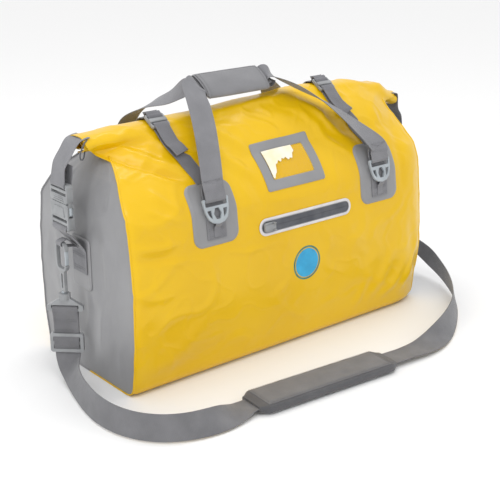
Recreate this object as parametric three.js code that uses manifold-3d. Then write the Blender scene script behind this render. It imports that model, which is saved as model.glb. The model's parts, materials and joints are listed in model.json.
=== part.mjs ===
// Roll-top duffel bag in coated fabric, 60 litre class. Millimetres, +Z up, front towards -Y.
// The origin is on the floor, under the middle of the bag.
import * as THREE from 'three';
import { mergeVertices } from 'three/addons/utils/BufferGeometryUtils.js';
import Module from 'manifold-3d';

const wasm = await Module();
wasm.setup();

// ---- The filled bag -------------------------------------------------------------------------
const LENGTH = 640;            // over the two end panels
const HALF_DEPTH = 123;        // centre to the front or back wall at the shoulders
const SHOULDER = 250;          // height at which the walls turn in towards the mouth
const CROWN = 354;             // top of the skin in the middle of the bag, under the rolled mouth
const SHOULDER_SHAPE = 1.5;    // exponent of the shoulder curve: 1 is a straight slope, 2 an ellipse
const BELLY = 10;              // how far the full walls bow out below the shoulders
const BASE_ROUND = 20;         // radius of the long bottom edges
const SKIN = 1.2;              // coated fabric
const GAP = 0.3;               // air left between pieces that touch
const MOUTH_HALF = 9;          // half width of the slot that the mouth comes up through
const SEAM_ROOM = 2;           // room between an end panel's edge and the inside of the walls

// One end is packed square, the other is blown out round. lean is how far the panel tips in at the
// crown, round the plan radius of its upright corners, dome how far it bulges past its seam.
const LEFT_END = { side: -1, round: 16, dome: 5, lean: 40 };
const RIGHT_END = { side: 1, round: 90, dome: 35, lean: 22 };

// The crown line, end to end: [share of half the length, rise above CROWN]
const CROWN_LINE = [[-1, -12], [-0.75, -8], [-0.35, -6], [0, 0], [0.33, 6], [0.63, 3], [0.83, -8], [1, -30]];

// ---- Rolled mouth ---------------------------------------------------------------------------
const ROLL_HALF_WIDTH = 22;
const ROLL_HALF_HEIGHT = 11;
const ROLL_SHEET = 1.6;        // the two layers of the mouth, rolled as one
const ROLL_CORE = 0.45;        // size of the innermost turn, as a share of the outer one
const ROLL_INSET = 2;          // the roll stops this far short of each end of the bag
const ROLL_LENGTH = LENGTH - 2 * ROLL_INSET;
const BATTEN_INSET = 88;       // from each end of the roll to the battens
const BATTEN_LENGTH = ROLL_LENGTH - 2 * BATTEN_INSET;
const BATTEN_WIDTH = 14;
const BATTEN_THICK = 1.6;

// ---- Base board -----------------------------------------------------------------------------
const BOARD_THICK = 2.5;
const BOARD_ROOM_LEFT = 50;    // from each end and side of the bag to the board's edge
const BOARD_ROOM_RIGHT = 90;
const BOARD_ROOM_SIDE = 31;
const BOARD_LENGTH = LENGTH - BOARD_ROOM_LEFT - BOARD_ROOM_RIGHT;
const BOARD_DEPTH = 2 * (HALF_DEPTH - BOARD_ROOM_SIDE);
const BOARD_CENTRE = (BOARD_ROOM_LEFT - BOARD_ROOM_RIGHT) / 2;

// ---- Webbing and patches --------------------------------------------------------------------
const WEB_WIDE = 38;           // handles, end straps and shoulder strap
const WEB_NARROW = 25;         // cinch straps over the roll
const WEB_THICK = 1.4;
const PATCH_WIDTH = 82;
const PATCH_TOP = 115;         // distance down the wall from the crown
const PATCH_HEIGHT = 98;
const PATCH_ROUND = 16;
const PATCH_THICK = 1.6;
const PATCH_X = 168;           // patches and handle rings stand this far from the middle

// ---- Handle rings ---------------------------------------------------------------------------
const RING_CHEEK = 4;          // each side of the webbing
const RING_WIDTH = WEB_WIDE + 2 * RING_CHEEK;
const RING_HEIGHT = 38;
const RING_THICK = 3.4;
const RING_TOP = 143;          // distance down the wall from the crown
const RING_BAR = 3.6;
const RING_SLOT = 8;
const TAB_HEIGHT = 20;
const TAB_THICK = 2.8;
// The handle goes round the top bar at this distance, and that sets how far the ring stands out
const RING_WRAP = Math.hypot(RING_BAR, RING_THICK) / 2 + WEB_THICK / 2 + GAP + 0.1;
const RING_LIFT = GAP + PATCH_THICK + GAP + WEB_THICK / 2 + RING_WRAP + 0.4;

// ---- Handles and their grip -----------------------------------------------------------------
const GRIP_X = -40;
const GRIP_Y = -2;
const GRIP_Z = 411;
const GRIP_LENGTH = 123;
const GRIP_TILT = THREE.MathUtils.degToRad(34);   // the grip leans forward
const GRIP_FILL = 0.8;         // share of the wrap's width that the handles take up
const GRIP_HALF_WIDTH = (WEB_WIDE / 2 - 1) / GRIP_FILL;
const GRIP_HALF_THICK = 5;
const GRIP_WALL = 2.4;
const HANDLE_APART = 1;        // air between the two handles inside the grip
const FLAP_THICK = 1.6;

// ---- Cinch straps over the roll -------------------------------------------------------------
const CINCH_LEFT = -190;       // the straps sit either side of the grip, which is left of the middle
const CINCH_RIGHT = 143;
const CINCH_FOOT = 170;        // and run in to the patches
const LOCK_CHEEK = 3.5;        // each side of the webbing
const LOCK_WIDTH = WEB_NARROW + 2 * LOCK_CHEEK;
const LOCK_HEIGHT = 26;
const LOCK_THICK = 4;

// ---- Window, zip and badge on the front -----------------------------------------------------
const WINDOW_X = -4;
const WINDOW_WIDTH = 116;
const WINDOW_HEIGHT = 83;
const WINDOW_TOP = 72;
const WINDOW_BORDER = 17;
const PANE_THICK = 0.6;
const PANE_ROOM = 1;           // air between the film and its frame
const ZIP_X = 7;
const ZIP_LENGTH = 190;
const ZIP_HEIGHT = 27;
const ZIP_TOP = 193;
const ZIP_BORDER = 4.5;
const ZIP_TAPE_THICK = 0.8;
const SLIDER_LENGTH = 22;
const SLIDER_HEIGHT = 14;
const SLIDER_THICK = 3.2;
const PULL_LENGTH = 20;
const PULL_WIDTH = 8;
const PULL_THICK = 1.6;
const BADGE_X = 6;
const BADGE_S = 281;
const BADGE_SIZE = 56;
const BADGE_THICK = 0.8;

// ---- End straps, side-release buckles and snap hooks ----------------------------------------
const BUCKLE_OUT_LEFT = 27;    // centre plane of the buckle outside the end panel
const BUCKLE_OUT_RIGHT = 11;   // the right-hand straps are pulled tighter
const BUCKLE_CHEEK = 4.5;      // each side of the webbing
const BUCKLE_WIDTH = WEB_WIDE + 2 * BUCKLE_CHEEK;
const BUCKLE_THICK = 11;
const BUCKLE_FOOT_LEFT = 237;  // lowest point of the socket half
const BUCKLE_FOOT_RIGHT = 205;
const SOCKET_HEIGHT = 40;
const PLUG_HEIGHT = 28;        // the part of the plug half that stands above the socket
const PRONG_LENGTH = 18;
const SLOT_CLEAR = 1.6;        // slot width beyond the webbing's thickness
const END_PATCH_WIDTH = 52;
const END_PATCH_FOOT = 138;
const END_PATCH_HEIGHT = 80;
const LOOP_WIDTH = 14;
const LOOP_START_LEFT = 11;    // how far outside the end panel the loop comes off the strap
const LOOP_START_RIGHT = 18;
const HOOK_OUT = 32;           // centre plane of the snap hook outside the end panel
const HOOK_TOP = 218;
const HOOK_WIDTH = 30;
const HOOK_LOOP = 46;          // height of the hook's open loop
const HOOK_GATE = 22;
const HOOK_BAR = 5;
const HOOK_THICK = 6;
const LOOP_Z = HOOK_TOP - HOOK_BAR / 2;
const STEM_RADIUS = 3;
const STEM_PLATE = 12;         // width of the flat neck between the hook and its swivel
const STEM_GRIP = 8;           // how deep the round stem goes into the head
const HEAD_TOP = 138;
const HEAD_HEIGHT = 28;
const HEAD_CHEEK = 8;          // each side of the webbing
const HEAD_WIDTH = WEB_WIDE + 2 * HEAD_CHEEK;
const HEAD_THICK = 7;
const HEAD_TURN_LEFT = THREE.MathUtils.degToRad(46);
const HEAD_TURN_RIGHT = THREE.MathUtils.degToRad(-20);

// ---- Shoulder strap -------------------------------------------------------------------------
const PAD_LENGTH = 256;
const PAD_EDGE = 12;           // each side of the webbing
const PAD_WIDTH = WEB_WIDE + 2 * PAD_EDGE;
const PAD_THICK = 14;
const PAD_CHANNEL = 4.4;
const GLIDE_HEIGHT = 30;
const GLIDE_CHEEK = 6;         // each side of the webbing
const GLIDE_WIDTH = WEB_WIDE + 2 * GLIDE_CHEEK;
const GLIDE_THICK = 7;
const GLIDE_BAR = 5;
const GLIDE_MIDDLE_BAR = 4;
const GLIDE_Z = 59;            // height of its middle on the hanging strap

// ---- Materials ------------------------------------------------------------------------------
const finish = (color, roughness, metalness = 0) =>
  new THREE.MeshStandardMaterial({ color, roughness, metalness });
const yellowSkin = finish(0xe8be22, 0.35);
const greySkin = finish(0x969696, 0.55);
const webbing = finish(0x7c7c80, 0.9);
const padCloth = finish(0x86868a, 0.9);
const plastic = finish(0xa5a8ab, 0.45);
const palePlastic = finish(0xb5bcc0, 0.4);
const darkTape = finish(0x4c4e52, 0.8);
const clearFilm = finish(0xe9ecee, 0.1);
const board = finish(0x303236, 0.7);
const print = finish(0x2f8fb0, 0.5);

const bag = new THREE.Group();
const X_AXIS = new THREE.Vector3(1, 0, 0);
const Y_AXIS = new THREE.Vector3(0, 1, 0);
const Z_AXIS = new THREE.Vector3(0, 0, 1);

// ---- Ways of making a closed solid ----------------------------------------------------------

function add(name, geometry, material) {
  const mesh = new THREE.Mesh(geometry, material);
  mesh.name = name;
  bag.add(mesh);
  return mesh;
}

function signedVolume(positions, index) {
  const a = new THREE.Vector3();
  const b = new THREE.Vector3();
  const c = new THREE.Vector3();
  let volume = 0;
  for (let i = 0; i < index.length; i += 3) {
    a.fromArray(positions, 3 * index[i]);
    b.fromArray(positions, 3 * index[i + 1]);
    c.fromArray(positions, 3 * index[i + 2]);
    volume += a.dot(b.cross(c));
  }
  return volume;
}

function closedGeometry(positions, index) {
  if (signedVolume(positions, index) < 0) index.reverse();
  const geometry = new THREE.BufferGeometry();
  geometry.setAttribute('position', new THREE.Float32BufferAttribute(positions, 3));
  geometry.setIndex(index);
  geometry.computeVertexNormals();
  return geometry;
}

// A slab is a grid of points with a top and an underside: at(u, v) gives both for u, v from 0 to 1.
// ring closes it on itself along u.
function slab(stepsU, stepsV, at, ring = false) {
  const columns = ring ? stepsU : stepsU + 1;
  const rows = stepsV + 1;
  const positions = [];
  for (let face = 0; face < 2; face++) {
    for (let i = 0; i < columns; i++) {
      for (let j = 0; j < rows; j++) {
        positions.push(...at(i / stepsU, j / stepsV)[face].toArray());
      }
    }
  }
  const corner = (face, i, j) => face * columns * rows + (i % columns) * rows + j;
  const index = [];
  const quad = (a, b, c, d) => index.push(a, b, c, a, c, d);
  for (let i = 0; i < stepsU; i++) {
    for (let j = 0; j < stepsV; j++) {
      quad(corner(0, i, j), corner(0, i + 1, j), corner(0, i + 1, j + 1), corner(0, i, j + 1));
      quad(corner(1, i, j), corner(1, i, j + 1), corner(1, i + 1, j + 1), corner(1, i + 1, j));
    }
    quad(corner(0, i, 0), corner(1, i, 0), corner(1, i + 1, 0), corner(0, i + 1, 0));
    quad(corner(0, i, stepsV), corner(0, i + 1, stepsV), corner(1, i + 1, stepsV), corner(1, i, stepsV));
  }
  if (!ring) {
    for (let j = 0; j < stepsV; j++) {
      quad(corner(0, 0, j), corner(0, 0, j + 1), corner(1, 0, j + 1), corner(1, 0, j));
      quad(corner(0, stepsU, j), corner(1, stepsU, j), corner(1, stepsU, j + 1), corner(0, stepsU, j + 1));
    }
  }
  return closedGeometry(positions, index);
}

// Webbing along a route. Each point is [x, y, z] and each across is the direction of its width.
function ribbon(points, across, width, thickness, steps, soft = false) {
  const route = new THREE.CatmullRomCurve3(points.map((p) => new THREE.Vector3(...p)), false, 'catmullrom', 0.5);
  const turn = new THREE.CatmullRomCurve3(across.map((a) => new THREE.Vector3(...a)), false, 'catmullrom', 0.5);
  const edges = soft ? [[-0.5, 0.4], [-0.42, 1], [0.42, 1], [0.5, 0.4]] : [[-0.5, 1], [0.5, 1]];
  return slab(steps, edges.length - 1, (u, v) => {
    const [share, depth] = edges[Math.round(v * (edges.length - 1))];
    const tangent = route.getTangent(u);
    const side = turn.getPoint(u);
    side.addScaledVector(tangent, -side.dot(tangent)).normalize();
    const normal = new THREE.Vector3().crossVectors(tangent, side);
    const centre = route.getPoint(u).addScaledVector(side, share * width);
    return [
      centre.clone().addScaledVector(normal, 0.5 * depth * thickness),
      centre.clone().addScaledVector(normal, -0.5 * depth * thickness),
    ];
  });
}

function toSolid(geometry) {
  const bare = geometry.clone();
  bare.deleteAttribute('normal');
  bare.deleteAttribute('uv');
  const merged = mergeVertices(bare, 1e-4);
  return new wasm.Manifold(new wasm.Mesh({
    numProp: 3,
    vertProperties: new Float32Array(merged.attributes.position.array),
    triVerts: new Uint32Array(merged.index.array),
  }));
}

function fromSolid(solid) {
  const mesh = solid.getMesh();
  return closedGeometry(Array.from(mesh.vertProperties), Array.from(mesh.triVerts));
}

function cut(geometry, tools) {
  return fromSolid(tools.reduce((solid, tool) => solid.subtract(toSolid(tool)), toSolid(geometry)));
}

function join(geometries) {
  const [first, ...rest] = geometries.map(toSolid);
  return fromSolid(rest.reduce((solid, next) => solid.add(next), first));
}

// A flat plate drawn in X and Y, its thickness centred on Z = 0
function plate(shape, thickness, curveSegments = 6) {
  const geometry = new THREE.ExtrudeGeometry(shape, { depth: thickness, bevelEnabled: false, curveSegments });
  return geometry.translate(0, 0, -thickness / 2);
}

function roundedRect(path, x, y, width, height, radius) {
  const r = Math.min(radius, width / 2 - 0.01, height / 2 - 0.01);
  path.moveTo(x - width / 2 + r, y - height / 2);
  path.lineTo(x + width / 2 - r, y - height / 2);
  path.absarc(x + width / 2 - r, y - height / 2 + r, r, -Math.PI / 2, 0);
  path.lineTo(x + width / 2, y + height / 2 - r);
  path.absarc(x + width / 2 - r, y + height / 2 - r, r, 0, Math.PI / 2);
  path.lineTo(x - width / 2 + r, y + height / 2);
  path.absarc(x - width / 2 + r, y + height / 2 - r, r, Math.PI / 2, Math.PI);
  path.lineTo(x - width / 2, y - height / 2 + r);
  path.absarc(x - width / 2 + r, y - height / 2 + r, r, Math.PI, 1.5 * Math.PI);
  return path;
}

const box = (width, height, depth, x, y, z) => new THREE.BoxGeometry(width, height, depth).translate(x, y, z);

// Turns a piece drawn flat so that its X runs along width, its Y along up, and its Z stands out
function stand(geometry, width, up, place) {
  const out = new THREE.Vector3().crossVectors(width, up);
  const frame = new THREE.Matrix4().makeBasis(width, up, out).setPosition(place);
  return geometry.applyMatrix4(frame);
}

// ---- The wall of the bag --------------------------------------------------------------------
// Half of the cross-section, from the crown down the outside to the middle of the base

function crossSection() {
  const points = [];
  const arcSteps = 120;
  for (let i = 0; i <= arcSteps; i++) {
    const y = HALF_DEPTH * Math.sin((i / arcSteps) * Math.PI / 2);
    const rise = Math.max(0, 1 - (y / HALF_DEPTH) ** SHOULDER_SHAPE) ** (1 / SHOULDER_SHAPE);
    points.push(new THREE.Vector2(y, SHOULDER + (CROWN - SHOULDER) * rise));
  }
  const wallSteps = 60;
  for (let i = 1; i <= wallSteps; i++) {
    const share = i / wallSteps;
    const z = THREE.MathUtils.lerp(SHOULDER, BASE_ROUND, share);
    points.push(new THREE.Vector2(HALF_DEPTH + BELLY * Math.sin(Math.PI * share), z));
  }
  const cornerSteps = 16;
  const cornerCentre = HALF_DEPTH - BASE_ROUND;
  for (let i = 1; i <= cornerSteps; i++) {
    const angle = (i / cornerSteps) * Math.PI / 2;
    const z = BASE_ROUND * (1 - Math.sin(angle));
    points.push(new THREE.Vector2(cornerCentre + BASE_ROUND * Math.cos(angle), z));
  }
  points.push(new THREE.Vector2(0, 0));
  return points;
}

const section = crossSection();
const sectionLength = [0];
for (let i = 1; i < section.length; i++) {
  sectionLength.push(sectionLength[i - 1] + section[i].distanceTo(section[i - 1]));
}
const S_BASE = sectionLength[sectionLength.length - 1];
const S_CORNER = sectionLength[sectionLength.length - 18];   // where the bottom edge starts to round
const S_FLOOR = S_BASE - (HALF_DEPTH - BASE_ROUND);          // where it meets the floor

function sectionAt(s) {
  let i = 1;
  while (i < section.length - 1 && sectionLength[i] < s) i++;
  const share = (s - sectionLength[i - 1]) / (sectionLength[i] - sectionLength[i - 1]);
  const along = section[i].clone().sub(section[i - 1]).normalize();
  const place = section[i - 1].clone().lerp(section[i], share);
  return { y: place.x, z: place.y, outY: -along.y, outZ: along.x };
}

const endOf = (x) => (x < 0 ? LEFT_END : RIGHT_END);

function crownRise(x) {
  const share = THREE.MathUtils.clamp(x / (LENGTH / 2), -1, 1);
  let i = 1;
  while (CROWN_LINE[i][0] < share) i++;
  const [x0, z0] = CROWN_LINE[i - 1];
  const [x1, z1] = CROWN_LINE[i];
  const t = (share - x0) / (x1 - x0);
  return THREE.MathUtils.lerp(z0, z1, t * t * (3 - 2 * t));
}

// How far from the crown a height is: 0 at the shoulder and below, 1 at the crown
const crownShare = (z) => Math.max(0, (z - SHOULDER) / (CROWN - SHOULDER));

// Distance from the middle to the outside of an end, and to its seam, at s down the section
const endReach = (end, s) => LENGTH / 2 - end.lean * crownShare(sectionAt(s).z) ** 2;
const seamReach = (end, s) => endReach(end, s) - end.dome;

// A point on the wall: x along the bag, s down from the crown, front (-1) or back (1), lift outwards
function wall(x, s, side, lift) {
  const p = sectionAt(s);
  const end = endOf(x);
  const into = THREE.MathUtils.clamp(end.round - (endReach(end, s) - Math.abs(x)), 0, end.round);
  const inset = end.round - Math.sqrt(end.round ** 2 - into ** 2);
  const pull = 1 - inset / HALF_DEPTH;
  const rise = crownRise(x) * crownShare(p.z);
  return new THREE.Vector3(x, side * (p.y * pull + lift * p.outY), p.z + rise + lift * p.outZ);
}

function wallUp(x, s, side) {
  return wall(x, s - 8, side, 0).sub(wall(x, s + 8, side, 0)).setX(0).normalize();
}

const wallPair = (x, s, side, low, thick) => [wall(x, s, side, low + thick), wall(x, s, side, low)];

// ---- Shell of the bag -----------------------------------------------------------------------

function wallPanel(name, side) {
  add(name, slab(18, 14, (u, v) => {
    const s = THREE.MathUtils.lerp(MOUTH_HALF, S_CORNER - GAP, v);
    const x = THREE.MathUtils.lerp(-seamReach(LEFT_END, s), seamReach(RIGHT_END, s), u);
    return wallPair(x, s, side, -SKIN, SKIN);
  }), yellowSkin);
}
wallPanel('front_panel', -1);
wallPanel('back_panel', 1);

// The base turns up round both long edges
add('base_panel', slab(18, 10, (u, v) => {
  const w = 2 * v - 1;
  const corner = S_FLOOR - S_CORNER;
  const bend = 0.55;
  const share = Math.abs(w);
  const s = share > bend
    ? THREE.MathUtils.lerp(S_FLOOR, S_CORNER, (share - bend) / (1 - bend))
    : THREE.MathUtils.lerp(S_BASE, S_FLOOR, share / bend);
  const reach = Math.min(s, S_CORNER + corner);
  const x = THREE.MathUtils.lerp(-seamReach(LEFT_END, reach), seamReach(RIGHT_END, reach), u);
  return wallPair(x, s, Math.sign(w) || 1, -SKIN, SKIN);
}), yellowSkin);

// An end panel is set in just inside the edges of the walls and base
function endPanel(name, end) {
  const inset = -(SKIN + SEAM_ROOM);
  const top = MOUTH_HALF + 6;
  const point = (u, v, depth) => {
    const s = THREE.MathUtils.lerp(S_FLOOR, top, v);
    const x = end.side * seamReach(end, s);
    const rim = wall(x, s, 1, inset);
    const across = 2 * u - 1;
    const bulge = end.dome * (1 - across ** 2) * Math.min(1, 4 * v * (1 - v) + 0.15 * v);
    rim.y *= across;
    rim.x += end.side * (bulge - depth);
    return rim;
  };
  add(name, slab(12, 14, (u, v) => [point(u, v, 0), point(u, v, SKIN)]), greySkin);
}
endPanel('end_panel_left', LEFT_END);
endPanel('end_panel_right', RIGHT_END);

const boardShape = roundedRect(new THREE.Shape(), 0, 0, BOARD_LENGTH, BOARD_DEPTH, 24);
const boardLift = SKIN + GAP + BOARD_THICK / 2;
add('base_board', plate(boardShape, BOARD_THICK, 4).translate(BOARD_CENTRE, 0, boardLift), board);

// ---- Rolled mouth ---------------------------------------------------------------------------

const rollCentre = (x) => CROWN + crownRise(x) + ROLL_HALF_HEIGHT + ROLL_SHEET / 2 + 1;

// The turns of the roll in Y and Z, from the core outwards, ending in the neck below
function rollTurns() {
  const turns = 1.75;
  const steps = 20;
  const line = [];
  for (let i = 0; i <= steps; i++) {
    const angle = (i / steps) * turns * 2 * Math.PI;
    const size = THREE.MathUtils.lerp(ROLL_CORE, 1, i / steps);
    line.push(new THREE.Vector2(
      ROLL_HALF_WIDTH * size * Math.cos(angle),
      ROLL_HALF_HEIGHT * size * Math.sin(angle),
    ));
  }
  return line;
}
const turnLine = rollTurns();

function turnAt(v, offset) {
  const i = Math.round(v * (turnLine.length - 1));
  const before = turnLine[Math.max(0, i - 1)];
  const after = turnLine[Math.min(turnLine.length - 1, i + 1)];
  const along = after.clone().sub(before).normalize();
  return turnLine[i].clone().add(new THREE.Vector2(along.y, -along.x).multiplyScalar(offset));
}

add('roll_top', slab(12, turnLine.length - 1, (u, v) => {
  const x = ROLL_LENGTH * (u - 0.5);
  return [ROLL_SHEET / 2, -ROLL_SHEET / 2].map((offset) => {
    const p = turnAt(v, offset);
    return new THREE.Vector3(x, p.x, rollCentre(x) + p.y);
  });
}), yellowSkin);

for (const [name, level] of [['roll_batten_upper', 1.3], ['roll_batten_lower', -1.3]]) {
  const points = [];
  for (let i = 0; i <= 12; i++) {
    const x = BATTEN_LENGTH * (i / 12 - 0.5);
    points.push([x, 0, rollCentre(x) + level]);
  }
  add(name, ribbon(points, points.map(() => [0, 1, 0]), BATTEN_WIDTH, BATTEN_THICK, 12), board);
}

// ---- Patches, tabs and handle rings ---------------------------------------------------------

// A rounded rectangle laid on the wall; half is the half width left at v, 0 at the top
function patchOn(name, centre, top, width, height, radius, side, low, thick, material) {
  const geometry = slab(6, 16, (u, v) => {
    const down = height * (0.5 - 0.5 * Math.cos(Math.PI * v));
    const into = Math.max(0, radius - Math.min(down, height - down));
    const half = width / 2 - radius + Math.sqrt(radius ** 2 - into ** 2);
    return wallPair(centre + (2 * u - 1) * half, top + down, side, low, thick);
  });
  add(name, geometry, material);
}

function ringGeometry() {
  const half = RING_WIDTH / 2;
  const foot = RING_HEIGHT / 2;
  const outline = new THREE.Shape();
  outline.moveTo(half - 3, foot);
  outline.lineTo(-half + 3, foot);
  outline.quadraticCurveTo(-half, foot, -half, foot - 3);
  outline.lineTo(-half + 2, 0);
  outline.bezierCurveTo(-half + 4, -foot * 0.75, -half * 0.45, -foot, 0, -foot);
  outline.bezierCurveTo(half * 0.45, -foot, half - 4, -foot * 0.75, half - 2, 0);
  outline.lineTo(half, foot - 3);
  outline.quadraticCurveTo(half, foot, half - 3, foot);
  const slot = roundedRect(new THREE.Path(), 0, foot - RING_BAR - RING_SLOT / 2, RING_WIDTH - 7, RING_SLOT, 2);
  const eye = new THREE.Path();
  eye.absellipse(0, -4, 7, 9.5, 0, 2 * Math.PI);
  outline.holes.push(slot, eye);
  for (const way of [-1, 1]) {
    const gap = new THREE.Path();
    gap.moveTo(way * 11, 2);
    gap.lineTo(way * (half - 5), 2);
    gap.quadraticCurveTo(way * (half - 6), -6, way * 10.5, -11);
    gap.quadraticCurveTo(way * 10, -5, way * 11, 2);
    outline.holes.push(gap);
  }
  return plate(outline, RING_THICK, 3);
}

const SIDES = [['front', -1], ['back', 1]];
const HANDS = [['left', -1], ['right', 1]];
for (const [sideName, side] of SIDES) {
  for (const [handName, hand] of HANDS) {
    const x = hand * PATCH_X;
    const where = `${sideName}_${handName}`;
    patchOn(`patch_${where}`, x, PATCH_TOP, PATCH_WIDTH, PATCH_HEIGHT, PATCH_ROUND, side, GAP, PATCH_THICK, greySkin);
    const tabTop = RING_TOP + RING_HEIGHT + 2;
    const tabLow = 2 * GAP + PATCH_THICK;
    add(`ring_tab_${where}`, slab(4, 2, (u, v) => {
      const across = (u - 0.5) * (RING_WIDTH - 10);
      return wallPair(x + across, tabTop + v * TAB_HEIGHT, side, tabLow, TAB_THICK);
    }), webbing);
    const middle = RING_TOP + RING_HEIGHT / 2;
    const up = wallUp(x, middle, side);
    const width = X_AXIS.clone().multiplyScalar(-side);
    const out = new THREE.Vector3().crossVectors(width, up);
    const place = wall(x, middle, side, 0).addScaledVector(out, RING_LIFT);
    add(`handle_ring_${where}`, stand(ringGeometry(), width, up, place), palePlastic);
  }
}

// ---- Handles --------------------------------------------------------------------------------

const gripWide = new THREE.Vector3(0, -Math.cos(GRIP_TILT), -Math.sin(GRIP_TILT));
const gripOut = new THREE.Vector3(0, -Math.sin(GRIP_TILT), Math.cos(GRIP_TILT));
const gripPoint = (along, wide, out) => new THREE.Vector3(GRIP_X + along, GRIP_Y, GRIP_Z)
  .addScaledVector(gripWide, wide).addScaledVector(gripOut, out);

// The free stretch of a handle between ring and grip: share of the way, and how far it bows up
const TAUT = [[0.2, 7], [0.5, 12], [0.78, 8]];
const STANDING = [[0.2, 30], [0.5, 24], [0.78, 8]];
const TURN = [0.08, 0.28, 0.52];

// From the bar of one ring, round the bar, up over the shoulder, through the grip and down again
function handleRoute(side) {
  const bar = RING_TOP + RING_BAR / 2;
  const level = side * -0.5 * (WEB_THICK + HANDLE_APART);
  const end = (hand) => {
    const x = hand * PATCH_X;
    const up = wallUp(x, RING_TOP + RING_HEIGHT / 2, side);
    const out = new THREE.Vector3().crossVectors(X_AXIS.clone().multiplyScalar(-side), up);
    const axis = wall(x, RING_TOP + RING_HEIGHT / 2, side, 0)
      .addScaledVector(out, RING_LIFT).addScaledVector(up, RING_HEIGHT / 2 - RING_BAR / 2);
    const spot = (upBy, outBy) => axis.clone().addScaledVector(up, upBy).addScaledVector(out, outBy);
    return [
      spot(12, -RING_WRAP),
      spot(4, -RING_WRAP),
      spot(-1, -RING_WRAP * 0.95),
      spot(-RING_WRAP, 0),
      spot(-1, RING_WRAP * 0.95),
      spot(4, RING_WRAP),
      spot(12, RING_WRAP * 0.9),
      spot(24, RING_WRAP * 0.8),
    ];
  };
  const reach = GRIP_LENGTH / 2;
  const leave = (hand) => gripPoint(hand * (reach + WEB_WIDE / 2), 0, 0).add(new THREE.Vector3(0, side * 12, -2));
  const bow = new THREE.Vector3(0, side * 0.35, 0.94);
  const free = (hand) => (hand < 0 && side > 0 ? STANDING : TAUT).map(([share, height]) => (
    end(hand).at(-1).lerp(leave(hand), share).addScaledVector(bow, height)
  ));
  const acrossEnd = (hand) => [-hand, 0, 0];
  const inside = gripWide.clone().multiplyScalar(-side);
  const apart = (along) => Math.max(1, 1.1 + 0.8 * (Math.abs(along) - reach - 1));
  const stations = [-reach - 8, -reach - 1, 8 - reach, 0, reach - 8, reach + 1, reach + 8];
  const points = [
    ...end(-1), ...free(-1), leave(-1),
    ...stations.map((along) => gripPoint(along, 0, level * apart(along))),
    leave(1), ...free(1).reverse(), ...end(1).reverse(),
  ];
  const lean = (hand, share) => new THREE.Vector3(...acrossEnd(hand)).lerp(inside, share).toArray();
  const across = [
    ...end(-1).map(() => acrossEnd(-1)), ...TURN.map((share) => lean(-1, share)), lean(-1, 0.75),
    ...stations.map(() => inside.toArray()),
    lean(1, 0.75), ...TURN.map((share) => lean(1, share)).reverse(), ...end(1).map(() => acrossEnd(1)),
  ];
  return { points: points.map((p) => p.toArray()), across };
}

for (const [sideName, side] of SIDES) {
  const { points, across } = handleRoute(side);
  add(`handle_${sideName}`, ribbon(points, across, WEB_WIDE - 2, WEB_THICK, 72), webbing);
}

// The grip wraps both handles; its flap closes over the top and front
function gripArc(name, from, to, grow, thick, length, steps, material) {
  add(name, slab(steps, 1, (u, v) => {
    const angle = THREE.MathUtils.lerp(from, to, u);
    const along = (v - 0.5) * length;
    return [grow + thick, grow].map((g) => gripPoint(
      along,
      (GRIP_HALF_WIDTH + g) * Math.cos(angle),
      (GRIP_HALF_THICK + g) * Math.sin(angle),
    ));
  }), material);
}
gripArc('grip_wrap', -0.42 * Math.PI, 1.5 * Math.PI, 0, GRIP_WALL, GRIP_LENGTH, 22, padCloth);
gripArc('grip_flap', -0.2 * Math.PI, 0.8 * Math.PI, GRIP_WALL + GAP, FLAP_THICK, GRIP_LENGTH - 4, 12, padCloth);

// ---- Cinch straps ---------------------------------------------------------------------------

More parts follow.
